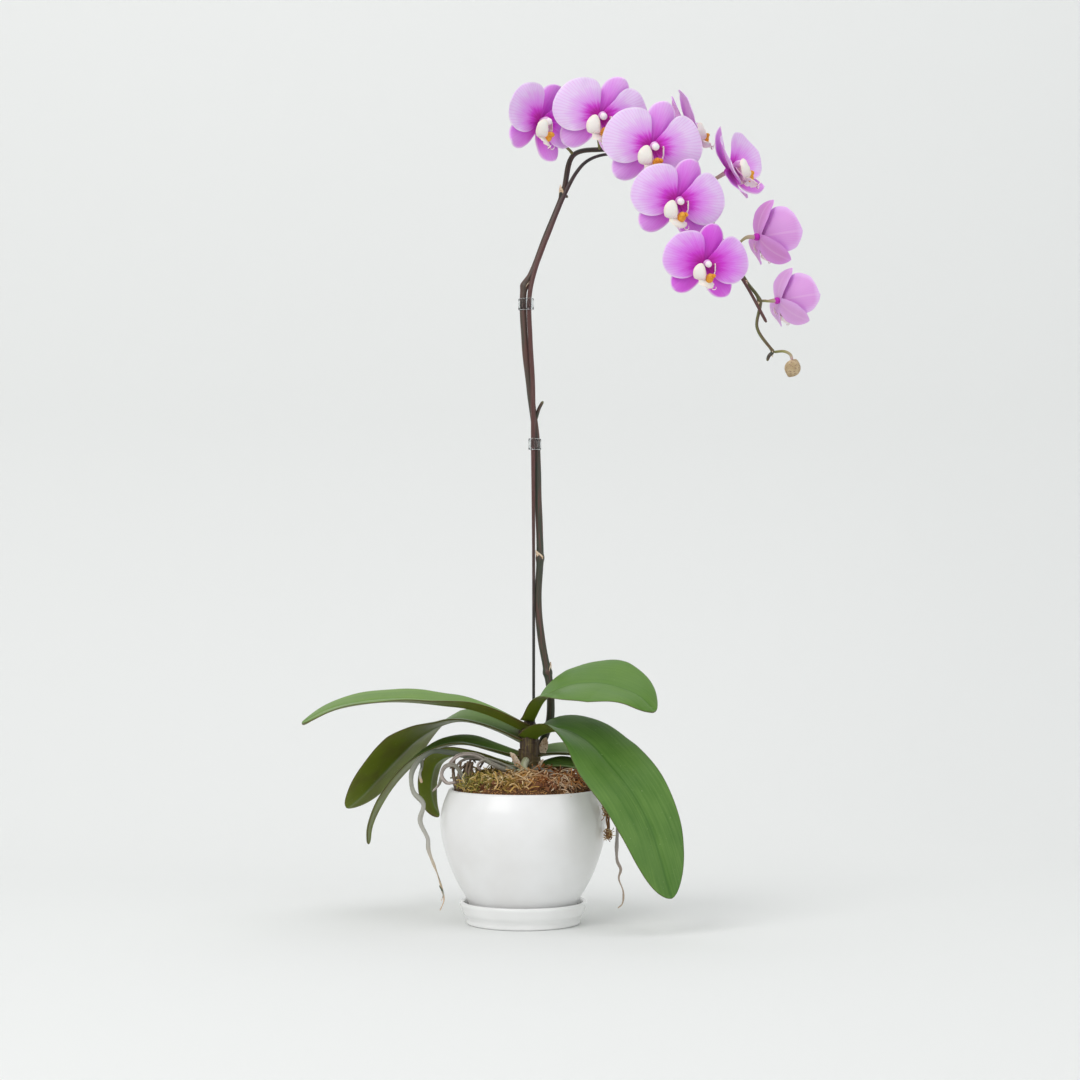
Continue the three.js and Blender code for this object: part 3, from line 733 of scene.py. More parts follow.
@dataclass(frozen=True)
class GlazedEarthenware(Finish):
    """White tin glaze over earthenware: soft gloss, faint waves of the glaze and a few pinholes."""

    light: str = "#f6f6f6"
    dark: str = "#efeeed"
    pinhole: float = 34.0

    def dress(self, nodes: Pattern) -> None:
        """Adds cloudy white, pinholes and glaze waves.

        Args:
            nodes: The material's nodes.
        """
        spot = nodes.spot()
        tint = nodes.ramp(nodes.noise(spot, 3.0, self.scale(45)), ((0.35, self.dark), (0.65, self.light)))
        links = {"Vector": spot, "Scale": self.scale(self.pinhole), "Randomness": 1.0}
        cells = add(nodes.tree, "ShaderNodeTexVoronoi", links).outputs["Distance"]
        hole = nodes.ramp(cells, ((0.0, "#8f867c"), (0.022, "#ffffff")))
        nodes.feed("Base Color", nodes.mix(1.0, tint, hole, "MULTIPLY"))
        nodes.bump(nodes.noise(spot, 2.0, self.scale(9), 0.4), 0.05)


@dataclass(frozen=True)
class LeafSkin(Finish):
    """A living strap leaf: waxy, veined lengthways, purple-brown at its base, its edge and beneath."""

    light: str = "#86a35e"
    dark: str = "#5f8541"
    under: str = "#4a5226"
    blush: str = "#553a2c"
    dust: str = "#aebf8e"

    def dress(self, nodes: Pattern) -> None:
        """Adds veins, midrib, blush, edge and dust.

        Args:
            nodes: The material's nodes.
        """
        span = nodes.read("span")
        _, along, face = nodes.split(nodes.read("place"))
        across, _, inset = nodes.split(span)
        veins = nodes.noise(nodes.stretched(span, 0.6, 0.012, 0.0), 3.0, rough=0.65)
        blotch = nodes.noise(nodes.stretched(span, 0.06, 0.03, 0.0), 4.0)
        rib = nodes.math("ABSOLUTE", across)
        top = nodes.mix(nodes.ranged(nodes.math("ADD", veins, blotch), 0.6, 1.4), self.dark, self.light)
        top = nodes.mix(nodes.ranged(rib, 0.3, 1.1, 0.75, 0.0), top, self.dark)
        top = nodes.mix(nodes.ranged(along, 0.0, 0.11, 0.85, 0.0, smooth=True), top, self.blush)
        low = nodes.mix(nodes.ranged(blotch, 0.45, 0.8, 0.0, 0.7), self.under, self.blush)
        low = nodes.mix(nodes.ranged(rib, 0.3, 1.2, 0.45, 0.0), low, self.light)
        whole = nodes.mix(nodes.ranged(face, -0.3, 0.3), low, top)
        whole = nodes.mix(nodes.ranged(inset, 0.1, 0.9, 0.6, 0.0), whole, self.blush)
        dusty = nodes.ranged(nodes.noise(nodes.spot(), 2.0, self.scale(1.6)), 0.7, 0.78, 0.0, 0.35)
        nodes.feed("Base Color", nodes.mix(dusty, whole, self.dust))
        nodes.feed("Roughness", nodes.ranged(blotch, 0.3, 0.7, self.roughness - 0.06, self.roughness + 0.08))
        nodes.set(Specular_IOR_Level=0.35)
        nodes.bump(veins, 0.09)


@dataclass(frozen=True)
class PetalSkin(Finish):
    """A moth orchid's petal: deep at its claw, paler outwards, fine fanned veins and a pale margin."""

    heart: str = "#b8009e"
    glow: str = "#dc40dc"
    middle: str = "#eaa0f7"
    outer: str = "#f1d5fd"
    back: str = "#dc9fe0"
    rib: str = "#f2d6ee"
    margin: str = "#fbeefe"
    reach: float = 0.5
    fan: float = 5.0
    heart_end: float = 0.14
    length: float = 37.0

    def dress(self, nodes: Pattern) -> None:
        """Adds the colour from claw to margin and the veins.

        Args:
            nodes: The material's nodes.
        """
        _, along, face = nodes.split(nodes.read("place"))
        across, out, inset = nodes.split(nodes.read("span"))
        radial = nodes.flat(nodes.math("MULTIPLY", across, 1.3), out)
        away = add(nodes.tree, "ShaderNodeVectorMath", {0: radial}, operation="LENGTH").outputs["Value"]
        fanned = nodes.flat(nodes.math("ARCTAN2", across, out), away)
        streak = nodes.noise(nodes.stretched(fanned, self.fan, 0.05, 0.0), 4.0, rough=0.6)
        push = nodes.math("MULTIPLY_ADD", streak, 0.44, -0.22)
        way = nodes.math("ADD", nodes.math("DIVIDE", away, self.length), push)
        tones = ((0.0, self.heart), (0.32, self.glow), (0.68, self.middle), (1.35, self.outer))
        stops = tuple((self.heart_end + self.reach * at, code) for at, code in tones)
        vein = nodes.wave(nodes.stretched(fanned, 1.0, 0.012, 0.0), 4.2, 2.4, 2.0, 1.4)
        line = nodes.ranged(vein, 0.0, 0.35, 0.16, 0.0)
        front = nodes.mix(line, nodes.ramp(way, (*stops, (1.0, self.outer))), self.glow)
        rim, far = nodes.ranged(inset, 0.0, 1.9, 0.65, 0.0), nodes.ranged(along, 0.12, 0.5, smooth=True)
        front = nodes.mix(nodes.math("MULTIPLY", rim, far), front, self.margin)
        keel = nodes.ranged(nodes.math("ABSOLUTE", across), 0.1, 1.3, 0.24, 0.0, smooth=True)
        behind = nodes.mix(keel, self.back, self.rib)
        behind = nodes.mix(nodes.ranged(inset, 0.5, 7.0, 0.5, 0.0, smooth=True), behind, self.outer)
        behind = nodes.mix(line, behind, self.glow)
        nodes.feed("Base Color", nodes.mix(nodes.ranged(face, -0.4, 0.4), behind, front))
        nodes.bump(vein, 0.02)


@dataclass(frozen=True)
class LipSkin(Finish):
    """The waxy white lip, cream to peach at its far edge, striped purple inside its throat."""

    white: str = "#fdf6ee"
    cream: str = "#fbdcb6"
    stripe: str = "#9c2a80"
    striped: float = 0.5

    def dress(self, nodes: Pattern) -> None:
        """Adds cream edges and throat stripes.

        Args:
            nodes: The material's nodes.
        """
        span = nodes.read("span")
        _, along, face = nodes.split(nodes.read("place"))
        inset = nodes.split(span)[2]
        cloud = nodes.noise(nodes.stretched(span, 0.5, 0.16, 0.0), 3.0)
        amount = nodes.math("MULTIPLY", nodes.ranged(inset, 0.2, 2.4, 0.55, 0.0), cloud)
        warm = nodes.mix(amount, self.white, self.cream)
        dark = nodes.ranged(nodes.wave(span, 0.32, 1.5, 1.0), 0.5, 0.9)
        shown = nodes.math("MULTIPLY", dark, nodes.ranged(along, 0.0, self.striped, 0.9, 0.0))
        inside = nodes.math("MULTIPLY", shown, nodes.ranged(face, 0.0, 0.4))
        nodes.feed("Base Color", nodes.mix(inside, warm, self.stripe))
        nodes.bump(cloud, 0.08)


@dataclass(frozen=True)
class Speckled(Finish):
    """Living tissue of one colour that clouds into a second, with specks of a third."""

    main: str = "#e8981c"
    cloud: str = "#f3b63c"
    speck: str = "#9b3a20"
    cloud_size: float = 3.0
    speck_size: float = 1.0
    specks: float = 0.62
    relief: float = 0.1

    def dress(self, nodes: Pattern) -> None:
        """Adds clouds and specks.

        Args:
            nodes: The material's nodes.
        """
        spot = nodes.spot()
        clouds = nodes.ranged(nodes.noise(spot, 3.0, self.scale(self.cloud_size)), 0.38, 0.62)
        fine = nodes.noise(spot, 1.0, self.scale(self.speck_size))
        spots = nodes.ranged(fine, self.specks, self.specks + 0.06)
        nodes.feed("Base Color", nodes.mix(spots, nodes.mix(clouds, self.main, self.cloud), self.speck))
        nodes.bump(fine, self.relief)


@dataclass(frozen=True)
class StemSkin(Finish):
    """A fleshy stalk: its colour runs along it, flushed in patches with a second colour and streaked lengthways."""

    stops: Shades = ((0.0, "#3c4038"), (1.0, "#6d7040"))
    flush: str = "#63453f"
    flushed: float = 0.5
    streak: float = 1.1

    def dress(self, nodes: Pattern) -> None:
        """Adds the run of colour, flush and streaks.

        Args:
            nodes: The material's nodes.
        """
        span = nodes.read("span")
        along = nodes.split(nodes.read("place"))[0]
        lines = nodes.noise(nodes.stretched(span, self.streak, self.streak, 0.06), 3.0)
        patch = nodes.noise(nodes.stretched(span, 0.22, 0.22, 0.018), 2.0)
        low, high = 1.25 - self.flushed * 0.6, 1.4 - self.flushed * 0.3
        amount = nodes.ranged(nodes.math("ADD", lines, patch), low, high)
        nodes.feed("Base Color", nodes.mix(amount, nodes.ramp(along, self.stops), self.flush))
        nodes.bump(lines, 0.12)


@dataclass(frozen=True)
class FibreSkin(Finish):
    """Dry moss and coir: each strand its own shade, yellower to the left and redder to the right."""

    left: Shades = ((0.0, "#5a5626"), (0.3, "#969040"), (0.7, "#d2b064"), (1.0, "#f2e2b0"))
    right: Shades = ((0.0, "#50301a"), (0.3, "#9c5c30"), (0.7, "#c98a4a"), (1.0, "#ecd0ac"))
    width: float = 60.0

    def dress(self, nodes: Pattern) -> None:
        """Adds a shade for each strand and for its place.

        Args:
            nodes: The material's nodes.
        """
        tint, spot = nodes.read("tint", "Fac"), nodes.spot()
        wander = nodes.noise(spot, 2.0, self.scale(22))
        push = nodes.math("MULTIPLY_ADD", wander, 0.09, nodes.split(spot)[0])
        middle, width = 0.045, self.width * MM
        share = nodes.ranged(push, middle - width * 0.6, middle + width * 0.3)
        nodes.feed("Base Color", nodes.mix(share, nodes.ramp(tint, self.left), nodes.ramp(tint, self.right)))


@dataclass(frozen=True)
class CoatedWire(Finish):
    """Steel wire in a brown plastic sleeve: smooth, with a long soft highlight and scuffs."""

    sleeve: str = "#5a3733"
    scuff: str = "#76605a"
    # foot: the dark colour at the stake's lower end; at the top of the arch, under the flowers, it is painted shade.
    foot: str = "#2b2a28"

    def dress(self, nodes: Pattern) -> None:
        """Adds the sleeve's colour, darker at its lower end, a band of painted shade at the top of its arch, and
        scuffs.

        Args:
            nodes: The material's nodes.
        """
        sleeve, foot = self.sleeve, self.foot
        # Dark at the lower end, then sleeve brown; the dark band at the top of the arch, behind and under the front
        # flowers, is painted shade.
        stops = ((0.22, foot), (0.36, sleeve), (0.62, sleeve), (0.72, foot), (0.9, sleeve))
        run = nodes.ramp(nodes.split(nodes.read("place"))[0], stops)
        scuffs = nodes.noise(nodes.stretched(nodes.read("span"), 1.4, 1.4, 0.12), 4.0)
        nodes.feed("Base Color", nodes.mix(nodes.ranged(scuffs, 0.5, 0.75, 0.0, 0.5), run, self.scuff))
        nodes.bump(scuffs, 0.03)


@dataclass(frozen=True)
class ClearAcrylic(Finish):
    """Clear moulded acrylic: see-through, glossy, with faint flow marks."""

    def dress(self, nodes: Pattern) -> None:
        """Makes it see-through, with flow marks.

        Args:
            nodes: The material's nodes.
        """
        nodes.set(Transmission_Weight=1.0)
        flow = nodes.noise(nodes.spot(), 1.0, self.scale(4))
        nodes.feed("Base Color", nodes.ramp(flow, ((0.3, "#e9edee"), (0.7, "#f8fafa"))))
        nodes.bump(flow, 0.04)


@dataclass(frozen=True)
class MattePaint(Finish):
    """Flat studio paint, seen from its front only, so a wall hides nothing from behind it."""

    colour: str = "#e9ebea"

    def dress(self, nodes: Pattern) -> None:
        """Adds the tone, and clears the back.

        Args:
            nodes: The material's nodes.
        """
        nodes.set(Base_Color=linear(self.colour), Specular_IOR_Level=0.1)
        behind = add(nodes.tree, "ShaderNodeNewGeometry").outputs["Backfacing"]
        clear = add(nodes.tree, "ShaderNodeBsdfTransparent").outputs["BSDF"]
        seen = add(nodes.tree, "ShaderNodeMixShader", {0: behind, 1: nodes.shader.outputs["BSDF"], 2: clear})
        target = next(node for node in nodes.tree.nodes if node.type == "OUTPUT_MATERIAL")
        nodes.tree.links.new(seen.outputs["Shader"], target.inputs["Surface"])


# ---- Pot, saucer and what fills the pot ----


@dataclass
class Pot:
    """The bellied pot and its saucer. Lengths are millimetres."""

    base: float = 5.35
    height: float = 99.2
    foot: float = 39.5
    belly: float = 64.5
    rim: float = 58.7
    wall: float = 4.0
    floor: float = 6.0
    hole: float = 7.0
    saucer_rim: float = 49.6
    saucer_foot: float = 45.0
    saucer_height: float = 17.6
    saucer_wall: float = 3.4
    around: int = 192
    curve: tuple[tuple[float, float], ...] = (
        (0.03, 0.03), (0.15, 0.2), (0.24, 0.41), (0.34, 0.61), (0.5, 0.84), (0.63, 0.965), (0.76, 1.0), (0.87, 0.93)
    )
    glaze: GlazedEarthenware = GlazedEarthenware("white_glazed_earthenware", roughness=0.34, ior=1.5, coat=0.25)
    saucer_glaze: GlazedEarthenware = GlazedEarthenware(
        "white_glazed_saucer", roughness=0.22, ior=1.5, coat=0.4, light="#fbfbfa", dark="#f6f6f5", pinhole=60.0
    )

    def lip(self, middle: float, top: float, half: float) -> list[Point]:
        """Points over a rounded lip, from outside to inside.

        Args:
            middle: The radius of the lip's crest.
            top: Its height.
            half: Half the wall.

        Returns:
            (radius, height) points.
        """
        turns = np.linspace(0, math.pi, 7)
        return [(middle + half * math.cos(t), top - half + half * math.sin(t)) for t in turns]

    def build(self) -> None:
        """Makes the pot and the saucer."""
        top = self.base + self.height
        out = [(self.foot + (self.belly - self.foot) * w, self.base + self.height * h) for h, w in self.curve]
        inside = [(r - self.wall, z) for r, z in reversed(out[2:])]
        rim = self.lip(self.rim - self.wall / 2, top, self.wall / 2)
        profile = [(self.hole, self.base + self.floor), (self.hole, self.base + 0.6), (self.hole + 0.8, self.base)]
        profile += [(self.foot - 2.5, self.base), (self.foot - 0.7, self.base + 0.4), *out, *rim, *inside]
        profile += [
            (self.foot - self.wall, self.base + self.floor + 2), (self.foot - self.wall - 3, self.base + self.floor)
        ]
        profile += [(self.hole + 0.8, self.base + self.floor), (self.hole, self.base + self.floor)]
        piece("pot_body", self.ring(profile), self.glaze, "pot_glaze", "pot")
        foot, lip, wall = self.saucer_foot, self.saucer_rim, self.saucer_wall
        dish = [(0, 0), (foot - 6, 0), (foot - 1.6, 0.1), (foot - 0.2, 1.2), (foot - 0.6, 3.4), (foot + 0.3, 6)]
        dish += [
            (lip - 2.4, 8.6), (lip - 1.1, self.saucer_height - 5.2),
            *self.lip(lip - wall / 2, self.saucer_height, wall / 2)
        ]
        dish += [
            (lip - wall - 1.3, self.saucer_height - 6), (foot - wall + 0.4, 6.2), (foot - wall - 2.4, 5.05),
            (foot - wall - 8, 5), (0, 5)
        ]
        piece("saucer_dish", revolved(dish, self.around), self.saucer_glaze, "saucer_glaze", "saucer")

    def ring(self, profile: Sequence[Point]) -> Surface:
        """A turned ring whose outline closes on itself.

        Args:
            profile: (radius, height) points, the last on the first.

        Returns:
            The ring.
        """
        outline = Line([(r, z, 0) for r, z in profile]).at(np.linspace(0, 1, 6 * len(profile), endpoint=False))
        return looped(spun(outline, self.around))


class Strand(Enum):
    """The kinds of litter that a scatter lays."""

    MOSS = "moss"
    COIR = "coir"
    BARK = "bark"


@dataclass
class Litter:
    """Geometry Nodes that lay strands or chips over a surface. Lengths are millimetres."""

    name: str
    kind: Strand
    density: float
    length: float
    thickness: float
    seed: int
    tilt: float = 1.1

    def tree(self, material: bpy.types.Material) -> Tree:
        """Builds the tree.

        Args:
            material: What the strands are made of.

        Returns:
            The node group, its sizes as named inputs.
        """
        group = bpy.data.node_groups.new(self.name + "_tree", "GeometryNodeTree")
        for name, flow, kind in (
            ("Surface", "INPUT", "Geometry"), ("Density", "INPUT", "Float"), ("Length", "INPUT", "Float"),
            ("Thickness", "INPUT", "Float"), ("Tilt", "INPUT", "Float"), ("Seed", "INPUT", "Int"),
            ("Litter", "OUTPUT", "Geometry"),
        ):
            group.interface.new_socket(name, in_out=flow, socket_type="NodeSocket" + kind)
        given = add(group, "NodeGroupInput").outputs
        points = add(
            group, "GeometryNodeDistributePointsOnFaces",
            {"Mesh": given["Surface"], "Density": given["Density"], "Seed": given["Seed"]}
        )
        shapes = self.chips(group, given) if self.kind is Strand.BARK else self.strands(group, given)
        tilt = add(group, "ShaderNodeCombineXYZ", {"X": given["Tilt"], "Y": given["Tilt"], "Z": math.pi})
        back = add(
            group, "ShaderNodeVectorMath", {0: tilt.outputs["Vector"], 1: (-1.0, -1.0, -1.0)}, operation="MULTIPLY"
        )
        spin = add(
            group, "FunctionNodeRandomValue",
            {0: back.outputs["Vector"], 1: tilt.outputs["Vector"], "Seed": given["Seed"]}, data_type="FLOAT_VECTOR"
        )
        size = add(group, "FunctionNodeRandomValue", {2: 0.55, 3: 1.3, "Seed": self.seed + 3}, data_type="FLOAT")
        laid = add(
            group, "GeometryNodeInstanceOnPoints",
            {
                "Points": points.outputs["Points"], "Instance": shapes, "Pick Instance": True,
                "Rotation": spin.outputs["Value"], "Scale": size.outputs[1]
            }
        )
        shade = add(group, "FunctionNodeRandomValue", {2: 0.0, 3: 1.0, "Seed": self.seed + 7}, data_type="FLOAT")
        tinted = add(
            group, "GeometryNodeStoreNamedAttribute",
            {"Geometry": laid.outputs["Instances"], "Name": "tint", "Value": shade.outputs[1]}, data_type="FLOAT",
            domain="INSTANCE"
        )
        real = add(group, "GeometryNodeRealizeInstances", {"Geometry": tinted.outputs["Geometry"]})
        dressed = add(group, "GeometryNodeSetMaterial", {"Geometry": real.outputs["Geometry"], "Material": material})
        add(group, "NodeGroupOutput", {"Litter": dressed.outputs["Geometry"]})
        return group

    def strands(self, group: Tree, given: bpy.types.NodeOutputs) -> Socket:
        """Three curled strands to pick from.

        Args:
            group: The tree.
            given: Its inputs.

        Returns:
            The strands as instances.
        """
        ring = add(group, "GeometryNodeCurvePrimitiveCircle", {"Resolution": 4, "Radius": given["Thickness"]})
        bends = {
            Strand.MOSS: (
                ((0, 0, 0), (0.5, 0.1, 0.7), (0.9, 0.6, 0.1)), ((0, 0, 0), (0.1, 0.5, 0.6), (-0.6, 0.7, 0.5)),
                ((0, 0, 0), (-0.6, 0, 0.3), (-0.6, -0.6, 0.8))
            ),
            Strand.COIR: (
                ((-0.5, 0, 0), (0, 0.35, 0.35), (0.6, 0, 0.1)), ((-0.6, 0, 0), (0, -0.2, 0.5), (0.5, 0.3, 0)),
                ((-0.4, 0.3, 0), (0.2, 0.2, 0.3), (0.5, -0.4, 0.25))
            ),
        }[self.kind]
        made = []
        for start, middle, end in bends:
            vectors = [
                add(
                    group, "ShaderNodeVectorMath", {0: tuple(map(float, p)), "Scale": given["Length"]},
                    operation="SCALE"
                ).outputs["Vector"]
                for p in (start, middle, end)
            ]
            bend = add(
                group, "GeometryNodeCurveQuadraticBezier",
                {"Resolution": 6, "Start": vectors[0], "Middle": vectors[1], "End": vectors[2]}
            )
            solid = add(
                group, "GeometryNodeCurveToMesh",
                {"Curve": bend.outputs["Curve"], "Profile Curve": ring.outputs["Curve"], "Fill Caps": True}
            )
            made.append(solid.outputs["Mesh"])
        box = add(group, "GeometryNodeGeometryToInstance")
        for mesh in made:
            group.links.new(mesh, box.inputs[0])
        return box.outputs[0]

    def chips(self, group: Tree, given: bpy.types.NodeOutputs) -> Socket:
        """Three rough bark chips to pick from.

        Args:
            group: The tree.
            given: Its inputs.

        Returns:
            The chips as instances.
        """
        box = add(group, "GeometryNodeGeometryToInstance")
        for number, wide in enumerate((0.5, 0.7, 0.4)):
            breadth = add(group, "ShaderNodeMath", {0: given["Length"], 1: wide}, operation="MULTIPLY")
            size = add(
                group, "ShaderNodeCombineXYZ",
                {"X": given["Length"], "Y": breadth.outputs["Value"], "Z": given["Thickness"]}
            )
            cube = add(
                group, "GeometryNodeMeshCube",
                {"Size": size.outputs["Vector"], "Vertices X": 4, "Vertices Y": 3, "Vertices Z": 2}
            )
            rough = add(group, "ShaderNodeTexNoise", {"Scale": 420.0, "W": float(number * 3)}, noise_dimensions="4D")
            centre = add(
                group, "ShaderNodeVectorMath", {0: rough.outputs["Color"], 1: (0.5, 0.5, 0.5)}, operation="SUBTRACT"
            )
            push = add(
                group, "ShaderNodeVectorMath", {0: centre.outputs["Vector"], "Scale": 0.0055}, operation="SCALE"
            )
            bent = add(
                group, "GeometryNodeSetPosition", {"Geometry": cube.outputs["Mesh"], "Offset": push.outputs["Vector"]}
            )
            group.links.new(bent.outputs["Geometry"], box.inputs[0])
        return box.outputs[0]

    def lay(self, ground: Surface, finish: Finish) -> bpy.types.Object:
        """Lays the litter over a surface.

        Args:
            ground: Where it lies, which isn't kept.
            finish: What it is made of.

        Returns:
            The litter as one plain mesh object.
        """
        under = plain_mesh(self.name + "_ground", ground)
        modifier = under.modifiers.new("litter", "NODES")
        modifier.node_group = self.tree(finish.material())
        wanted = {
            "Density": self.density / MM**2 / 1e4, "Length": self.length * MM, "Thickness": self.thickness * MM,
            "Tilt": self.tilt, "Seed": self.seed
        }
        for item in modifier.node_group.interface.items_tree:
            if item.item_type == "SOCKET" and item.in_out == "INPUT" and item.name in wanted:
                modifier[item.identifier] = wanted[item.name]
        bpy.context.view_layer.update()
        seen = under.evaluated_get(bpy.context.evaluated_depsgraph_get())
        mesh = bpy.data.meshes.new_from_object(seen)
        under.modifiers.clear()
        bpy.data.objects.remove(under)
        mesh.name = self.name
        mesh.polygons.foreach_set("use_smooth", [self.kind is not Strand.BARK] * len(mesh.polygons))
        obj = bpy.data.objects.new(self.name, mesh)
        bpy.context.scene.collection.objects.link(obj)
        return obj


@dataclass
class Medium:
    """Bark, moss and coir in the pot, mounded over its rim, with a tuft that hangs outside."""

    edge: float = 54.2
    level: float = 101.6
    mound: float = 14.0
    dead: int = 14
    threads: int = 11
    soil: Speckled = Speckled(
        "damp_bark_dust", roughness=0.95, main="#6a4628", cloud="#4a301c", speck="#a87a48", cloud_size=7,
        speck_size=1.3, specks=0.55, relief=0.9
    )
    fibre: FibreSkin = FibreSkin("sphagnum_and_coir", roughness=0.9)
    bark: Speckled = Speckled(
        "pine_bark", roughness=0.85, main="#6b4128", cloud="#8b5c3c", speck="#332114", cloud_size=5, speck_size=1.0,
        specks=0.6, relief=0.3
    )
    tuft: FibreSkin = FibreSkin(
        "hanging_moss_fibre", roughness=0.9, left=((0.0, "#6a4a2c"), (0.6, "#96843f"), (1.0, "#ccb080")),
        right=((0.0, "#7a583a"), (0.5, "#a88252"), (1.0, "#dcc49a"))
    )
    straw: FibreSkin = FibreSkin(
        "pale_coir", roughness=0.85, left=((0.0, "#a8905a"), (1.0, "#e0cd98")),
        right=((0.0, "#a87850"), (0.5, "#cfa67c"), (1.0, "#edd8bc"))
    )
    dry_root: StemSkin = StemSkin(
        "dead_root", roughness=0.9, stops=((0.0, "#54402c"), (0.5, "#806e5c"), (1.0, "#5c4836")), flush="#a8988a",
        flushed=0.45
    )

    def height(self, reach: np.ndarray) -> np.ndarray:
        """How high the mound is at a distance from the pot's axis."""
        return np.interp(
            reach / self.edge, [0, 0.3, 0.55, 0.81, 0.94, 1.0], [1, 0.97, 0.86, 0.6, 0.32, 0.0]
        ) * self.mound + self.level

    def ground(self, rings: int = 40, around: int = 120) -> Surface:
        """The mound's rough top with a shallow underside.

        Args:
            rings: Rings over its top.
            around: Points around each ring.

        Returns:
            The closed mound.
        """
        reach = np.concatenate([np.linspace(0.6, self.edge, rings), np.linspace(self.edge - 0.2, 0.8, 8)])
        top = np.concatenate([self.height(reach[:rings]), np.full(8, self.level - 12)])
        grid = spun(np.column_stack([reach, top]), around)
        rough = ripple(grid[:rings].reshape(-1, 3), 17, 4, 4).reshape(rings, around)
        grid[:rings, :, 2] += 1.6 * rough * np.clip((self.edge - reach[:rings]) / 5, 0.2, 1)[:, None]
        return skin(grid, np.zeros(grid.shape), grid.copy())

    def top_only(self, inset: float) -> Surface:
        """The upper faces of the mound, for litter to lie on, that far inside the pot.

        Args:
            inset: Millimetres in from the edge.

        Returns:
            The upper faces alone, which are never kept.
        """
        whole = self.ground(24, 72)
        heights = whole.points[:, 2]
        reach = np.linalg.norm(whole.points[:, :2], axis=1)
        faces = [
            f for f in whole.faces
            if min(heights[list(f)]) > self.level - 2 and max(reach[list(f)]) < self.edge - inset
        ]
        return Surface(whole.points, faces, whole.place, whole.span)

    def build(self) -> None:
        """Makes the mound, its litter, the hanging tuft and the dead roots at the left."""
        slot = "bark_and_moss"
        piece("medium_mound", self.ground(), self.soil, slot, "potting_medium")
        for litter, inset, finish in (
            (Litter("medium_bark", Strand.BARK, 150, 9.0, 3.4, 5, tilt=0.7), 6.0, self.bark),
            (Litter("medium_coir", Strand.COIR, 1500, 12.5, 0.3, 11, tilt=0.5), 7.0, self.fibre),
            (Litter("medium_long_fibre", Strand.COIR, 420, 17.0, 0.36, 41, tilt=0.75), 10.0, self.straw),
            (Litter("medium_moss", Strand.MOSS, 900, 7.5, 0.5, 23), 4.5, self.fibre),
        ):
            placed(litter.lay(self.top_only(inset), finish), finish, slot, "potting_medium")
        for name, kind, at, radii, density, length, finish in (
            ("clump_moss_left", Strand.MOSS, (-33, -27, 107), (13, 9, 8.5), 2600, 6.0, self.fibre),
            ("clump_coir_middle", Strand.COIR, (-6, -38, 104.5), (15, 8, 8.5), 2300, 9.0, self.fibre),
            ("clump_straw_right", Strand.COIR, (24, -33, 105), (14, 9, 7.5), 1500, 11.0, self.straw),
        ):
            heap = blob(radii, 10, 14)
            heap.points += np.array(at)
            placed(
                Litter(name, kind, density, length, 0.36, len(name), tilt=1.4).lay(heap, finish), finish, slot,
                "potting_medium"
            )
        self.hanging(slot)
        self.dead_roots(slot)

    def hanging(self, slot: str) -> None:
        """Makes the tuft that hangs over the rim at the right.

        Args:
            slot: The record's material slot.
        """
        random = np.random.default_rng(12)
        path = np.array(
            [(47, -16, 104), (54, -20, 109.5), (61, -23, 105), (64.6, -25, 94), (65.2, -25, 82), (65.6, -24, 70)]
        )
        threads = []
        for number in range(self.threads):
            shift = random.uniform(-1.7, 1.7, (len(path), 3)) * np.linspace(0.5, 1, len(path))[:, None]
            stop = 4 + number % 3
            threads.append(
                tube(
                    Line(path[: stop + 1 - (stop > 5)] + shift[: stop + 1 - (stop > 5)]),
                    [(0, 0.7), (0.7, 0.55), (1, 0.25)], 6, 30
                )
            )
        clump = blob((2.4, 2.2, 3.6), 12, 16)
        clump.points += np.array([65.8, -24, 71.5]) + 0.7 * ripple(clump.points, 4, 3)[:, None] * (1, 1, 1)
        middle = blob((1.9, 1.8, 5.0), 12, 16)
        middle.points += np.array([64.4, -25, 90]) + 0.7 * ripple(middle.points, 5, 4)[:, None] * (1, 1, 1)
        core = joined([*threads, clump, middle])
        piece("hanging_threads", core, self.tuft, slot, "hanging_moss")
        strands = Litter(
            "hanging_strands", Strand.MOSS, 5200, 3.6, 0.3, 31, tilt=3.0
        ).lay(joined([clump, middle]), self.tuft)
        placed(strands, self.tuft, slot, "hanging_moss")

    def dead_roots(self, slot: str) -> None:
        """Makes the grey bundle of dead roots that stands at the left of the rim.

        Args:
            slot: The record's material slot.
        """
        random = np.random.default_rng(8)
        made = []

        def shrivelled(turn: np.ndarray, reach: np.ndarray, share: np.ndarray) -> np.ndarray:
            """Three folds that wind along it."""
            return 0.25 * np.sin(3 * turn + reach)

        for number in range(self.dead):
            x, y = -51 + number * 1.25 + random.uniform(-1, 1), -14 + random.uniform(-6, 6)
            lean = random.uniform(-5, 5)
            points = [
                (x, y, 101), (x - 1.5 + lean * 0.2, y - 1, 110), (x - 2 + lean * 0.6, y, 119 + random.uniform(-3, 3)),
                (x + lean, y + 2, 127 + random.uniform(-6, 2)), (x + lean * 1.8, y + 4, 125 + random.uniform(-6, 2))
            ]
            made.append(tube(Line(points), [(0, 1.5), (0.6, 1.1), (1, 0.6)], sides=9, steps=30, swell=shrivelled))
        piece("dead_root_bundle", joined(made), self.dry_root, slot, "potting_medium")


# ---- Crown, leaves and roots ----


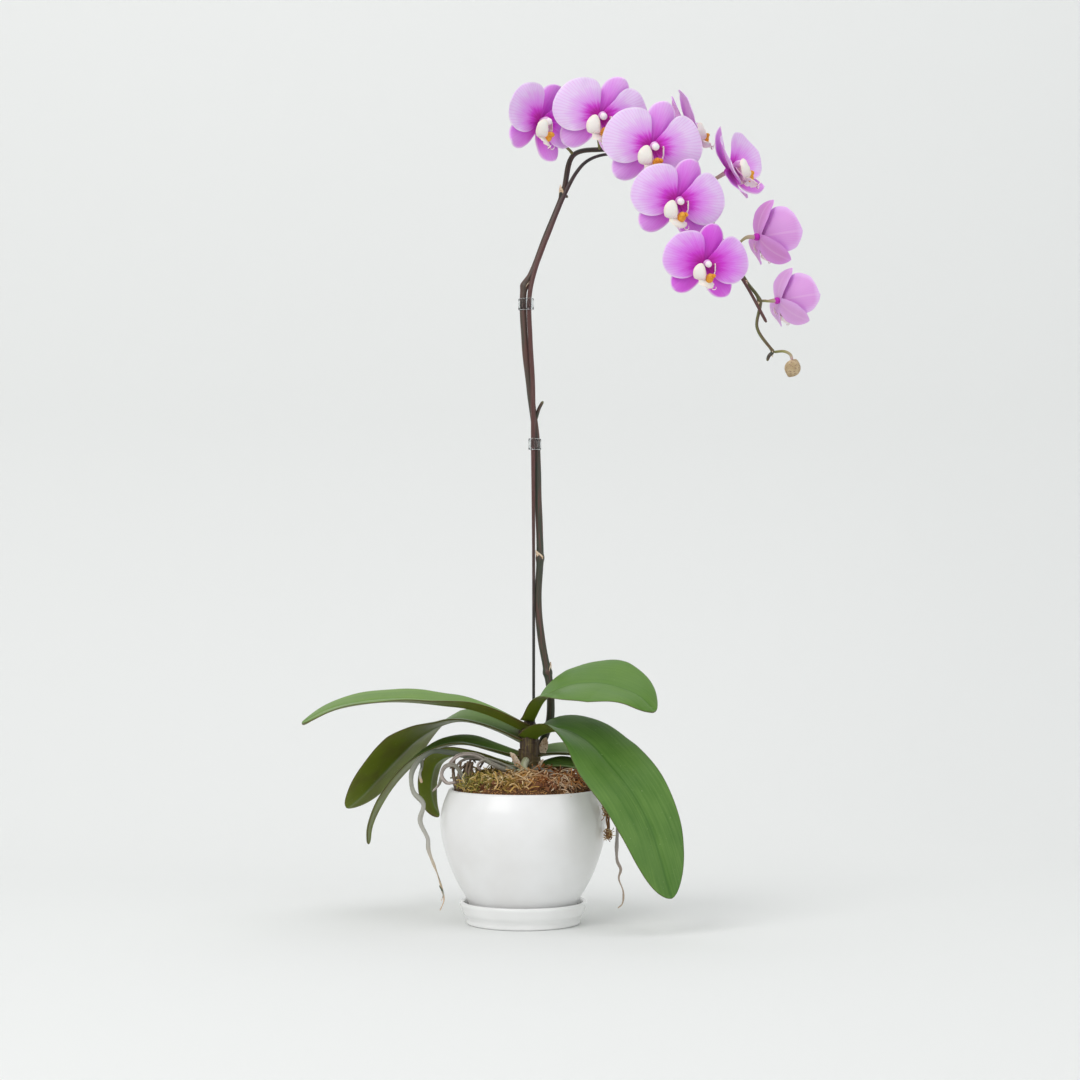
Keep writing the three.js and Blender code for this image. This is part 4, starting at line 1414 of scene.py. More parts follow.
@dataclass
class Crown:
    """The short stem, wrapped in the overlapping bases of its leaves."""

    x: float = 4.5
    foot: float = 104.0
    top: float = 158.5
    radius: float = 7.4
    sheaths: tuple[tuple[float, float], ...] = ((118, 20), (124, 165), (131, 35), (138, 160), (146, -25), (153, 190))
    bark: StemSkin = StemSkin(
        "old_leaf_sheath", roughness=0.55,
        stops=((0.0, "#6a5638"), (0.3, "#5d5330"), (0.55, "#4b3b2c"), (0.8, "#3b2a28"), (1.0, "#33241f")),
        flush="#77683f", flushed=0.42, streak=0.7
    )
    paper: Speckled = Speckled(
        "papery_bract", roughness=0.8, main="#cdb095", cloud="#e3d3bd", speck="#8d6a55", cloud_size=4, speck_size=1.2,
        specks=0.62, relief=0.2
    )

    def build(self) -> None:
        """Makes the stem and the dry scraps on it."""
        line = Line(
            [
                (self.x + 1.5, 0.5, self.foot), (self.x + 0.4, 0, 118), (self.x, 0, 134), (self.x - 0.4, 0, 150),
                (self.x, 0, self.top)
            ]
        )

        def shingled(turn: np.ndarray, reach: np.ndarray, share: np.ndarray) -> np.ndarray:
            """How far the sheaths stand off.

            Args:
                turn: Each point's turn about the stem, in radians.
                reach: Its millimetres along.
                share: Its share of the length.

            Returns:
                Millimetres off the round.
            """
            off = np.zeros(turn.shape)
            for height, way in self.sheaths:
                rim = height - self.foot + 3.2 * np.cos(turn - math.radians(way)) + 0.6 * np.sin(5 * turn + height)
                below = rim - reach
                off = np.maximum(off, np.where(below > 0, 1.6 * np.exp(-below / 5.5), 0) * np.clip(below / 0.5, 0, 1))
            return off + 0.18 * np.sin(turn * 9 + np.sin(reach / 6)) - 0.35

        body = tube(
            line, [(0, 5.5), (0.14, 7.6), (0.3, 8.2), (0.55, self.radius), (0.85, 6.6), (1, 3.2)], sides=72,
            steps=260, swell=shingled
        )
        piece("crown_sheaths", body, self.bark, "stem_sheath", "crown_stem")
        scraps = []
        for x, y, z, width, tall, lean in (
            (-5.5, -5.5, 124, 4.5, 9, -14), (12.2, -5, 121.5, 3.0, 6, 10), (-3, -6.5, 120, 3, 8, -4),
            (15, 3, 132, 7, 12, 8)
        ):
            leaf = Blade(Outline(0.7, 0.4, 1.6), width, 0.5, fold=24, frill=0.5, across=11, steps=16, seed=int(tall))
            scraps.append(
                leaf.surface(
                    [(x, y, z), (x + lean * 0.1, y - 0.8, z + tall * 0.5), (x + lean * 0.35, y - 0.2, z + tall)],
                    (1, 0.2, 0)
                )
            )
        piece("crown_scraps", joined(scraps), self.paper, "stem_sheath", "crown_stem")


LEAF = Outline(claw=0.32, widest=0.6, bluntness=2.5)


@dataclass
class Leaf:
    """One strap leaf, from the crown to its tip."""

    number: int
    midrib: Sequence[Point]
    width: float
    roll: Stops
    fold: Stops
    skin: LeafSkin
    outline: Outline = LEAF
    uneven: float = 0.0
    crown: tuple[float, float] = (4.5, 0.0)

    def build(self) -> None:
        """Makes the leaf."""
        points = np.asarray(self.midrib, float)
        way = unit((points[-1] - points[0])[None] * (1, 1, 0))[0]
        start = (self.crown[0] + way[0] * 2.5, self.crown[1] + way[1] * 2.5, points[0][2] - 2.5)
        blade = Blade(
            self.outline, self.width, 2.3, fold=self.fold, roll=self.roll, camber=0.06, uneven=self.uneven,
            groove=0.7, frill=0.35, waves=2.0, across=45, steps=110, seed=self.number,
        )
        surface = blade.surface([start, *points[1:]], (way[1], -way[0], 0))
        surface.points[:, 2] += 0.35 * ripple(surface.points, 60, self.number, 2)
        piece(f"leaf_blade_{self.number}", surface, self.skin, "leaf", f"leaf_{self.number}")


@dataclass
class Foliage:
    """The eight leaves."""

    bright: LeafSkin = LeafSkin("young_orchid_leaf", roughness=0.42, light="#7d9d4a", dark="#5f843a", under="#5c681a")
    mid: LeafSkin = LeafSkin("orchid_leaf", roughness=0.4, light="#688c3c", dark="#507a2c", under="#67761e")
    deep: LeafSkin = LeafSkin("old_orchid_leaf", roughness=0.38, light="#6b9044", dark="#46702a", under="#5c701c")
    shaded: LeafSkin = LeafSkin("lower_orchid_leaf", roughness=0.42, light="#6b8642", dark="#4c6c2c", under="#68741e")

    def build(self) -> None:
        """Makes the leaves."""
        leaves = (
            Leaf(1, (
                (-5, -3, 152), (-25, -6, 162.5), (-44, -9, 168.5), (-62, -12, 171), (-94, -17, 174),
                (-126, -21, 172.5), (-149, -24, 167), (-170, -26, 156)
            ),
                 50, ((0, 0), (0.45, -7.5), (1, -5)), ((0, 38), (0.35, 20), (1, 6)), self.bright),
            Leaf(2, (
                (-4, 4, 142), (-19, 11, 149), (-38, 22, 155), (-55, 33, 155.5), (-71, 44, 149.5), (-88, 54, 138),
                (-100, 60, 126.5), (-117, 66, 109), (-133, 70, 92), (-144, 72, 82.5)
            ),
                 46, ((0, -8), (0.2, -14), (0.38, -9), (0.62, 20), (1, 30)), ((0, 36), (0.4, 16), (1, 8)),
                 self.shaded),
            Leaf(3, (
                (-4, 3, 129.5), (-26, 12, 134), (-46, 22, 138), (-62, 30, 136), (-79, 38, 128), (-99, 46, 110),
                (-114, 52, 89), (-123, 56, 69), (-125, 58, 54.5)
            ),
                 34, ((0, -8), (0.25, -15), (0.5, -14), (1, -20)), ((0, 34), (0.4, 16), (1, 10)), self.shaded),
            Leaf(4, (
                (-4, 6, 121), (-26, 16, 125.5), (-46, 24, 128.5), (-60, 27, 128), (-70, 28, 122), (-74, 28, 111),
                (-74.5, 27, 99), (-72, 26, 88), (-67, 24, 80)
            ),
                 24, ((0, 0), (0.5, 20), (1, 30)), ((0, 30), (0.4, 18), (1, 12)), self.mid),
            Leaf(5, (
                (3, -5, 160), (17, -11, 176), (33, -20, 184.5), (51, -32, 187.5), (70, -44, 186), (88, -54, 179),
                (100, -58, 167.5)
            ),
                 66, ((0, 6), (0.3, 25), (0.65, 26), (1, 12)), ((0, 32), (0.35, 12), (1, 4)), self.mid,
                 Outline(0.32, 0.55, 1.9)),
            Leaf(6, (
                (4, -6, 144), (15, -9, 148.5), (29, -15, 151), (48, -28, 143.5), (67, -43, 125), (83, -55, 105),
                (95, -62, 82), (102.5, -66, 60), (108, -68, 40), (111.5, -68, 28)
            ),
                 58, ((0, 0), (0.2, 14), (0.4, 32), (1, 44)), ((0, 38), (0.35, 12), (1, 6)), self.deep,
                 Outline(0.4, 0.46, 2.2, 1.2)),
            Leaf(7, (
                (5, 5, 130.5), (15, 12, 130), (29, 22, 130.5), (49, 41, 126), (70, 59, 112), (88, 75, 92),
                (98, 84, 68)
            ),
                 40, ((0, 10), (0.3, 20), (1, 16)), ((0, 34), (0.4, 14), (1, 8)), self.shaded),
            Leaf(8, ((5, 2, 121), (29, 12, 121.5), (45, 22, 118), (61, 32, 110), (74, 40, 97), (82, 45, 82)),
                 32, ((0, 10), (0.3, 22), (1, 16)), ((0, 30), (0.4, 14), (1, 8)), self.shaded),
        )
        for leaf in leaves:
            leaf.build()


@dataclass
class Root:
    """One aerial root with its branches, each a line and its radii."""

    name: str
    node: str
    lines: Sequence[tuple[Sequence[Point], Stops]]
    skin: StemSkin

    def build(self) -> None:
        """Makes the root."""

        def knotted(turn: np.ndarray, reach: np.ndarray, share: np.ndarray) -> np.ndarray:
            """Its uneven girth.

            Args:
                turn: Each point's turn about the stem, in radians.
                reach: Its millimetres along.
                share: Its share of the length.

            Returns:
                Millimetres off the round.
            """
            return 0.16 * np.sin(
                reach / 3.1 + np.sin(reach / 7)
            ) + 0.1 * np.sin(2 * turn + reach / 4) + 0.05 * np.sin(reach * 2.1)

        parts = [
            tube(Line(points), radii, 14, max(24, int(Line(points).length * 1.1)), knotted)
            for points, radii in self.lines
        ]
        piece(self.name, joined(parts), self.skin, "aerial_root", self.node)


@dataclass
class Roots:
    """The aerial roots: silvery velamen where dry, green where alive, thin and tan at their ends."""

    long_left: StemSkin = StemSkin(
        "velamen_long_left", roughness=0.75,
        stops=(
            (0.0, "#6d7360"), (0.35, "#5a6152"), (0.5, "#a7a89c"), (0.75, "#bdbab2"), (0.88, "#d6bf9f"),
            (1.0, "#dcb99a")
        ),
        flush="#8a8577", flushed=0.35
    )
    silver: StemSkin = StemSkin(
        "velamen_silver", roughness=0.75,
        stops=((0.0, "#a3a693"), (0.4, "#8f8c80"), (0.7, "#b5aaa4"), (1.0, "#c9b9b2")), flush="#5c5448", flushed=0.55
    )
    green: StemSkin = StemSkin(
        "velamen_green", roughness=0.6, stops=((0.0, "#8e9270"), (0.6, "#b4b692"), (1.0, "#9a9a7c")), flush="#cfd0ba",
        flushed=0.4
    )
    mauve: StemSkin = StemSkin(
        "velamen_mauve", roughness=0.75,
        stops=((0.0, "#8f8a80"), (0.6, "#a59f9c"), (0.85, "#b9a695"), (1.0, "#cdb49c")), flush="#8d8482", flushed=0.4
    )

    def build(self) -> None:
        """Makes the roots."""
        roots = (
            Root("root_left_hanging", "root_long_left", (
                (((4, -3, 121), (-18, -10, 122.5), (-29, -11, 127.5), (-46, -9, 130.5), (-58, -7, 133),
                  (-70, -5, 133.5), (-79, -5, 128.5), (-86, -6, 119), (-87, -7, 110.5),
                  (-85, -7, 102), (-77.5, -8, 93), (-80, -8, 80), (-74, -8, 66), (-73.5, -8, 58), (-66.5, -8, 38.7),
                  (-63, -8, 27), (-61.5, -8, 18.5), (-64.5, -8, 10.7)),
                 ((0, 2.2), (0.3, 1.9), (0.62, 1.9), (0.76, 1.6), (0.86, 0.7), (1, 0.5))),
                (((-79, -5, 128.5), (-79, -3, 121), (-80.5, -3, 116), (-79, -3, 109)), ((0, 1.4), (1, 1.0))),
                (((-65, -8, 30), (-62, -9, 24), (-63.5, -9, 18)), ((0, 0.5), (1, 0.35))),
            ), self.long_left),
            Root("root_left_bundle", "root_bundle_left", (
                (
                    (
                        (5, -4, 117), (-13, -16, 120), (-24, -18, 125), (-38, -17, 132), (-50, -15, 131),
                        (-58, -14, 124)
                    ),
                    ((0, 2.0), (0.6, 1.9), (1, 1.2))
                ),
                (
                    ((-6, -9, 119), (-20, -13, 126), (-34, -12, 129), (-47, -10, 127), (-55, -10, 119)),
                    ((0, 1.5), (1, 0.9))
                ),
                (((-24, -18, 125), (-30, -20, 128), (-35, -20, 124), (-33, -19, 120)), ((0, 1.4), (1, 1.0))),
            ), self.silver),
            Root("root_left_loop", "root_loop_left", (
                (
                    (
                        (-43, -22, 104), (-47, -22, 116), (-53, -20, 124), (-60, -18, 123), (-63, -17, 116),
                        (-59, -19, 110.5), (-52, -22, 111)
                    ),
                    ((0, 1.8), (1, 1.3))
                ),
                (((-63, -17, 116), (-65, -16, 109), (-70, -15, 103.5)), ((0, 1.2), (1, 0.8))),
            ), self.silver),
            Root("root_front_crown", "root_front", (
                (
                    ((3, -5, 128), (0.5, -11, 122), (2.5, -14, 117), (6, -18, 109), (8, -20, 101)),
                    ((0, 3.0), (0.5, 2.8), (1, 2.4))
                ),
                (((1, -9, 120), (-8, -12, 117), (-15, -15, 111)), ((0, 2.0), (1, 1.6))),
                (((3, -12, 118), (9, -16, 112), (12, -19, 103)), ((0, 1.5), (1, 1.1))),
            ), self.green),
            Root("root_side_crown", "root_side", (
                (
                    ((5, -3, 121.5), (13, -12, 120), (21, -16, 118), (27, -18, 112), (29, -19, 104)),
                    ((0, 2.2), (1, 1.7))
                ),
            ), self.silver),
            Root("root_right_hanging", "root_long_right", (
                ((
                    (38, 2, 104), (46, 3, 114), (56, 4, 113), (66, 4, 105), (72, 4, 93), (73.5, 4, 79), (73.2, 4, 48),
                    (76, 4, 41), (74.5, 4, 34), (78, 4, 23.4), (77.1, 4, 14), (73.8, 4, 10.8)
                ),
                 ((0, 1.9), (0.4, 1.5), (0.7, 1.3), (0.8, 0.8), (1, 0.5))),
            ), self.mauve),
        )
        for root in roots:
            root.build()


# ---- Flowers ----


class Tone(Enum):
    """How deep a flower's colour is."""

    PALE = "pale"
    ROSE = "rose"
    DEEP = "deep"


def petal_skin(name: str, **colours: str | float) -> PetalSkin:
    """A petal's finish with its own colours."""
    return PetalSkin(name, roughness=0.5, scatter=0.08, **colours)


PETALS = {
    Tone.PALE: petal_skin("petal_pale", reach=0.44),
    Tone.ROSE: petal_skin("petal_rose", glow="#d93cda", middle="#e890f4", outer="#efccfc", reach=0.52),
    Tone.DEEP: petal_skin("petal_deep", glow="#d634d6", middle="#e47cf0", outer="#ebbcf9", reach=0.7),
}
SEPALS = {
    Tone.PALE: petal_skin(
        "sepal_pale", heart="#c825bb", glow="#dc5ce0", middle="#e68ef0", outer="#ecbcf7", back="#dfa8e0", reach=0.6
    ),
    Tone.ROSE: petal_skin(
        "sepal_rose", heart="#c620b8", glow="#d950dc", middle="#e27cea", outer="#e8a8f2", back="#d892d4", reach=0.66
    ),
    Tone.DEEP: petal_skin(
        "sepal_deep", heart="#c41cb6", glow="#d544d8", middle="#df5ee6", outer="#e486ec", back="#c987c8", reach=0.9
    ),
}
LABELLUM = LipSkin("labellum", roughness=0.42, scatter=0.2)
THROAT = LipSkin(
    "striped_throat", roughness=0.45, scatter=0.1, white="#f0c4e6", cream="#e9a6d8", stripe="#8a1a68", striped=2.2
)
CALLUS = Speckled(
    "lip_callus", roughness=0.4, scatter=0.15, main="#e8981c", cloud="#f0b03a", speck="#b5522a", specks=0.66,
    cloud_size=2.4, speck_size=0.8
)
COLUMN = Speckled(
    "column_flesh", roughness=0.45, scatter=0.2, main="#e6a6e6", cloud="#f3d4f0", speck="#c84cbc", specks=0.68
)
CAP = Speckled(
    "pollen_cap", roughness=0.38, scatter=0.2, main="#fdf1f4", cloud="#fffafa", speck="#f3cfe6", specks=0.7
)


@dataclass
class Flower:
    """One open flower. Angles are degrees, lengths millimetres before size is applied."""

    number: int
    centre: Point
    yaw: float
    pitch: float
    roll: float
    size: float
    lean: float
    cup: float
    tone: Tone = Tone.PALE
    petal_length: float = 38.5
    petal_width: float = 50.0
    sepal_length: float = 35.0
    sepal_width: float = 22.0
    lip_turn: float = 32.0

    def frame(self) -> np.ndarray:
        """The flower's right, top and facing directions as columns, at its size."""
        turn, tilt, spin = (math.radians(a) for a in (self.yaw, self.pitch, self.roll))
        facing = np.array([math.sin(turn) * math.cos(tilt), -math.cos(turn) * math.cos(tilt), math.sin(tilt)])
        right = turned(np.array([[math.cos(turn), math.sin(turn), 0.0]]), facing, -spin)[0]
        return np.column_stack([right, np.cross(facing, right), facing]) * self.size

    def set_in(self, part: Surface, lip: bool = False) -> Surface:
        """A part from the flower's own frame to its place on the spike.

        Args:
            part: The part.
            lip: True for the lip, which hangs plumb and looks a little aside.

        Returns:
            The part in place.
        """
        matrix = self.frame()
        if lip:
            spin, turn = math.radians(self.roll * 0.8), math.radians(self.lip_turn)
            level = np.array([[math.cos(spin), -math.sin(spin), 0], [math.sin(spin), math.cos(spin), 0], [0, 0, 1]])
            aside = np.array([[math.cos(turn), 0, math.sin(turn)], [0, 1, 0], [-math.sin(turn), 0, math.cos(turn)]])
            pivot = np.array([0.6, -9.0, 8.4])
            part = part.moved(aside, pivot - aside @ pivot)
            matrix = matrix @ level
        return part.moved(matrix, self.centre)

    def floral(self, angle: float, start: float, length: float, heights: Sequence[float], blade: Blade) -> Surface:
        """A petal or sepal in the flower's own frame.

        Args:
            angle: Its direction, anticlockwise from the flower's right.
            start: Where it begins.
            length: Where it ends.
            heights: Its middle's heights along it, in front of the flower's plane.
            blade: Its outline.

        Returns:
            The blade, bent into the flower's bowl.
        """
        out = np.array([math.cos(math.radians(angle)), math.sin(math.radians(angle))])
        reaches = np.linspace(start, length, len(heights))
        midrib = [(out[0] * r, out[1] * r, z) for r, z in zip(reaches, heights)]
        flat = blade.surface(midrib, (out[1], -out[0], 0))
        bend = math.radians(max(self.cup, 0.1)) * 2 / self.petal_length
        reach = np.maximum(np.linalg.norm(flat.points[:, :2], axis=1), 1e-6)
        flat.points[:, :2] *= (np.sin(bend * reach) / (bend * reach))[:, None]
        flat.points[:, 2] += (1 - np.cos(bend * reach)) / bend
        return flat

    def petals(self) -> list[Surface]:
        """The two broad petals, left and right."""
        steep = (
            (0, 0.1), (0.04, 0.34), (0.09, 0.68), (0.16, 0.89), (0.28, 1.0), (0.45, 1.0), (0.62, 0.92), (0.78, 0.77),
            (0.9, 0.54), (0.97, 0.3), (1, 0.02)
        )
        easy = (
            (0, 0.1), (0.06, 0.24), (0.14, 0.38), (0.23, 0.55), (0.33, 0.78), (0.45, 0.92), (0.58, 0.95),
            (0.74, 0.84), (0.88, 0.6), (0.97, 0.3), (1, 0.02)
        )
        lower = (
            (0, 0.1), (0.05, 0.2), (0.15, 0.4), (0.28, 0.56), (0.45, 0.66), (0.62, 0.67), (0.78, 0.59), (0.9, 0.43),
            (0.97, 0.25), (1, 0.02)
        )
        made = []
        for side, angle, lobes in ((-1, 172, Lobes(steep, lower)), (1, 2, Lobes(lower, easy))):
            blade = Blade(lobes, self.petal_width, 0.75, camber=(
                (0, 0.0), (0.5, 0.06), (1, 0.14)
            ), frill=0.5, waves=1.6,
                          across=41, steps=54, seed=self.number * 2 + side)
            made.append(self.floral(angle, 1.2, self.petal_length, [-0.6, 1.0, 1.3, 0.8, -1.2], blade))
        return made

    def sepals(self) -> Surface:
        """The three sepals and the knob that they grow from."""
        outline = Outline(0.34, 0.58, 2.6, 1.1, 0.6)
        made = []
        for number, angle in enumerate((90 - self.lean, 222, 312)):
            blade = Blade(
                outline, self.sepal_width, 0.8, camber=((0, 0.1), (1, 0.3)), frill=0.3, waves=1.3, across=29,
                steps=36, seed=self.number * 3 + number
            )
            made.append(self.floral(angle, 0, self.sepal_length, [-2.6, -3.1, -3.4, -4.0], blade))
        knob = blob((3.0, 3.0, 3.2))
        knob.points[:, 2] -= 4.4
        return joined([*made, knob])

    def lip(self) -> Surface:
        """The lip: two upright side lobes, and a front lobe with a pair of tendrils."""
        front = Blade(
            Outline(0.3, 0.62, 2.0, 1.3, 0.6), 18, 1.0, fold=6, camber=((0, -0.3), (0.6, -0.15), (1, 0.1)), frill=0.6,
            waves=2, across=21, steps=26, seed=self.number
        )
        parts = [front.surface([(0, -8, 3.4), (0, -12.5, 6.5), (0, -16.5, 9.5), (0, -20.5, 11.5)], (1, 0, 0))]
        for side in (-1, 1):
            ear = Blade(
                Outline(0.45, 0.5, 2.2, 0.8), 10.8, 0.55, camber=((0, 0.1), (1, 0.3)), frill=0.3, across=19, steps=24,
                seed=5 + side
            )
            line = [
                (side * 3.0, -14.0, 5.4), (side * 7.6, -12.0, 6.6), (side * 9.8, -7.4, 7.4), (side * 9.4, -2.4, 8.2),
                (side * 8.4, 0.6, 8.6)
            ]
            parts.append(ear.surface(line, (0.66, 0, -0.75 * side)))
            curl = [
                (side * 1.4, -19.6, 11.2), (side * 4.0, -21.6, 11.8), (side * 5.4, -20.6, 13.6),
                (side * 4.4, -18.6, 14.2)
            ]
            parts.append(tube(Line(curl), ((0, 0.55), (1, 0.22)), 7, 14))
        return joined(parts)

    def throat(self) -> Surface:
        """The striped hollow between the column and the crest."""
        hollow = Blade(Outline(0.6, 0.5, 2.2), 11, 0.8, fold=24, across=17, steps=18, seed=2)
        return hollow.surface([(0, -1.6, 2.6), (0, -5.5, 3.4), (0, -9.5, 5.0), (0, -12.5, 7.2)], (1, 0, 0))

    def callus(self) -> Surface:
        """The orange crest between the side lobes: two teeth on a swollen base."""
        crest = blob((3.9, 4.0, 2.8))
        crest.points += np.array([1.4, -12.0, 9.4])
        teeth = []
        for side in (-1, 1):
            tooth = blob((1.5, 2.0, 2.4), 10, 14)
            tooth.points += np.array([1.4 + side * 2.0, -10.0, 11.4])
            teeth.append(tooth)
        whole = joined([crest, *teeth])
        whole.points += 0.3 * ripple(whole.points, 5, self.number)[:, None] * (1, 1, 1)
        return whole

    def column(self) -> Surface:
        """The column, which carries the cap."""
        return tube(
            Line([(0, -0.4, -1), (0, 0.6, 3), (0, 0.8, 6), (0, 0.2, 8.4)]),
            ((0, 2.0), (0.3, 2.5), (0.75, 2.9), (1, 2.4)), 20, 24
        )

    def cap(self) -> Surface:
        """The pollen cap at the column's end."""
        cap = blob((2.9, 2.7, 2.3))
        cap.points += np.array([0, -0.2, 9.2])
        return cap

    def build(self) -> None:
        """Makes the flower's pieces in place."""
        name = f"flower_{self.number}"
        for side, part in zip(("left", "right"), self.petals()):
            node = f"{name}_petal_{side}"
            piece(f"{name}_broad_{side}", self.set_in(part), PETALS[self.tone], "petal", node)
        trio = plain_mesh(f"{name}_sepal_trio", self.set_in(self.sepals()))
        placed(trio, SEPALS[self.tone], "sepal", f"{name}_sepals")
        for label, part, finish, hangs in (
            ("labellum", self.lip(), LABELLUM, True),
            ("throat", self.throat(), THROAT, True),
            ("callus", self.callus(), CALLUS, True),
            ("column", self.column(), COLUMN, False),
            ("cap", self.cap(), CAP, False),
        ):
            piece(f"{name}_{label}", self.set_in(part, hangs), finish, "lip", f"{name}_lip")


FLOWERS = (
    Flower(1, (14, -19, 622), 42, -8, 8, 0.97, 22, 6, Tone.ROSE),
    Flower(2, (60, -13, 627), 14, -10, 6, 1.02, 27, 0),
    Flower(3, (100, -21, 602), 12, -10, 3, 1.05, 15, 0),
    Flower(4, (119, -29, 558.5), 12, -10, 5, 0.99, 17, 0, Tone.ROSE),
    Flower(5, (140, -35, 509.5), 12, -10, 2, 0.9, 12, 0, Tone.DEEP),
    Flower(6, (132, 27, 624.5), 93, 21, 22, 0.95, 0, 4, Tone.ROSE, lip_turn=0),
    Flower(7, (165, 14, 591), 60, 24, -20, 1.04, 0, 22, Tone.ROSE),
    Flower(8, (187, 12, 537), 120, 8, -8, 0.98, 0, 34, Tone.ROSE),
    Flower(9, (202, 6, 486), 122, 6, -4, 0.9, 0, 36),
)


# ---- Spike, bud, stake and clips ----


@dataclass
class Spike:
    """The arching flower stalk with its joints, bracts and flower stalks. Lengths are millimetres."""

    base_radius: float = 2.8
    tip_radius: float = 1.15
    pedicel_radius: float = 1.1
    line: tuple[Point, ...] = (
        (7, 3, 126), (10, 6, 131), (13.5, 9, 137), (17.5, 11, 146), (21, 13, 158), (21, 15, 181), (19, 17, 194),
        (14.2, 18, 220),
        (11.4, 17, 251), (13, 16, 284), (11.6, 16, 330), (10, 16, 377), (5.3, 15.4, 416), (1, 13, 456),
        (0.8, 12.5, 498),
        (6, 14, 507), (19, 16, 541), (31, 16, 571), (39.5, 16, 602), (60, 14, 606), (88, 10, 602), (106, 7, 594),
        (130, 3, 573), (146, 0, 549), (160, -3, 523), (174, -6, 499), (184, -7, 484), (182, -8, 463),
        (194.5, -9, 444),
    )
    joints: tuple[tuple[int, float], ...] = ((6, 0.9), (9, 0.7), (14, 0.9), (17, 0.9), (26, 0.7), (28, 0.5))
    stalks: tuple[tuple[int, Point], ...] = (
        (18, (-0.6, -0.5, 0.6)), (19, (-0.1, -0.8, 0.5)), (21, (-0.2, -1, 0.2)), (22, (-0.3, -1, 0)),
        (24, (-0.2, -1, 0)),
        (20, (0.3, 0.8, 0.5)), (22, (0.3, 0.8, 0.4)), (24, (0.4, 0.8, 0.2)), (26, (0.7, 0.7, 0.1)),
    )
    bud: Point = (209, -10, 431.5)
    flesh: StemSkin = StemSkin(
        "orchid_spike", roughness=0.45,
        stops=(
            (0.0, "#3f4433"), (0.35, "#3f443a"), (0.5, "#54483f"), (0.62, "#33342b"), (0.74, "#3d3b2d"),
            (0.86, "#57523c"), (1.0, "#6d7040")
        ),
        flush="#654640", flushed=0.55
    )
    stalk: StemSkin = StemSkin(
        "orchid_pedicel", roughness=0.5,
        stops=((0.0, "#6b6b3a"), (0.45, "#98975a"), (0.8, "#b9a98a"), (1.0, "#cfa9b4")), flush="#a07a78", flushed=0.35
    )
    dry: Speckled = Speckled(
        "dry_bract", roughness=0.8, main="#d6b696", cloud="#ecdcc4", speck="#8d6448", cloud_size=4, speck_size=1.2,
        specks=0.6, relief=0.2
    )
    bud_skin: Speckled = Speckled(
        "closed_bud", roughness=0.6, main="#b39b76", cloud="#c9b28e", speck="#8c6c5c", cloud_size=5, speck_size=1.4,
        specks=0.6, relief=0.12
    )

    def reach_of(self, index: int) -> float:
        """The share of the length at which the curve meets one of its points.

        Args:
            index: Which of its points.

        Returns:
            The share, from 0 to 1.
        """
        line = Line(self.line)
        gaps = np.linalg.norm(line.dense - np.asarray(self.line[index], float), axis=1)
        return float(line.reach[int(np.argmin(gaps))] / line.length)

    def main_stalk(self) -> Surface:
        """The stalk itself, swollen at its joints."""
        base, tip = self.base_radius, self.tip_radius
        radii = (
            (0, base * 1.15), (0.22, base), (0.52, base * 0.96), (0.59, base * 0.86), (0.66, base * 0.72),
            (0.71, base * 0.62), (0.88, tip * 1.25), (1, tip)
        )
        swellings = [(self.reach_of(index), rise) for index, rise in self.joints]
        line = Line(self.line)

        def swollen(turn: np.ndarray, reach: np.ndarray, share: np.ndarray) -> np.ndarray:
            """How far joints and ribs stand off.

            Args:
                turn: Each point's turn about the stem, in radians.
                reach: Its millimetres along.
                share: Its share of the length.

            Returns:
                Millimetres off the round.
            """
            off = 0.08 * np.sin(turn * 7 + reach / 40) + 0.06 * np.sin(reach / 5)
            for at, rise in swellings:
                off = off + rise * np.exp(-(((share - at) * line.length / 2.6) ** 2))
            return off

        return tube(line, radii, sides=24, steps=620, swell=swollen)

    def pedicel(self, flower: Flower, index: int, heading: Point) -> Surface:
        """One flower's stalk.

        Args:
            flower: The flower at its end.
            index: The point of the spike that it leaves.
            heading: The way that it sets off.

        Returns:
            The stalk, thicker and ribbed towards the flower.
        """
        frame = flower.frame()
        start = np.asarray(self.line[index], float)
        bend = start + unit(np.asarray(heading, float)[None])[0] * 7
        ends = [frame @ np.array([0, 0, z]) + np.asarray(flower.centre) for z in (-15.3, -6.4)]
        size = self.pedicel_radius
        radii = ((0, size * 1.25), (0.12, size), (0.6, size * 0.95), (0.85, size * 1.5), (1, size * 1.7))

        def ribbed(turn: np.ndarray, reach: np.ndarray, share: np.ndarray) -> np.ndarray:
            """Three ribs that rise towards the flower."""
            return 0.12 * np.sin(3 * turn) * np.clip(share * 2 - 0.8, 0, 1)

        return tube(Line([start, bend, *ends]), radii, sides=14, steps=60, swell=ribbed)

    def bracts(self) -> Surface:
        """The dry scales that clasp the joints, and the cut ends of old branches."""
        made = []
        line = Line(self.line)
        for index, wide, tall, turn in (
            (6, 8.5, 9, -1.2), (9, 8.5, 7, 0.6), (14, 9.0, 9, 3.6), (17, 7.5, 7.5, 0.2), (26, 3.6, 4.5, 2.6),
            (25, 3.4, 4.2, 2.4), (28, 3.0, 3.4, 3.0)
        ):
            share = np.array([self.reach_of(index)])
            middle, way = line.at(share)[0], line.ways(share)[0]
            one, two = line.frames(np.array([max(share[0] - 0.01, 0), share[0]]))
            out = one[-1] * math.cos(turn) + two[-1] * math.sin(turn)
            radius = 3.0 if index < 18 else 1.6
            points = [
                middle + out * (radius * 0.9) - way * 1.5, middle + out * (radius + 0.9) + way * tall * 0.4,
                middle + out * (radius + 1.3) + way * tall * 0.9
            ]
            blade = Blade(Outline(0.9, 0.25, 1.3, 1.0, 0.9), wide, 0.45, fold=-42, across=13, steps=14, seed=index)
            made.append(blade.surface(points, np.cross(way, out)))
        return joined(made)

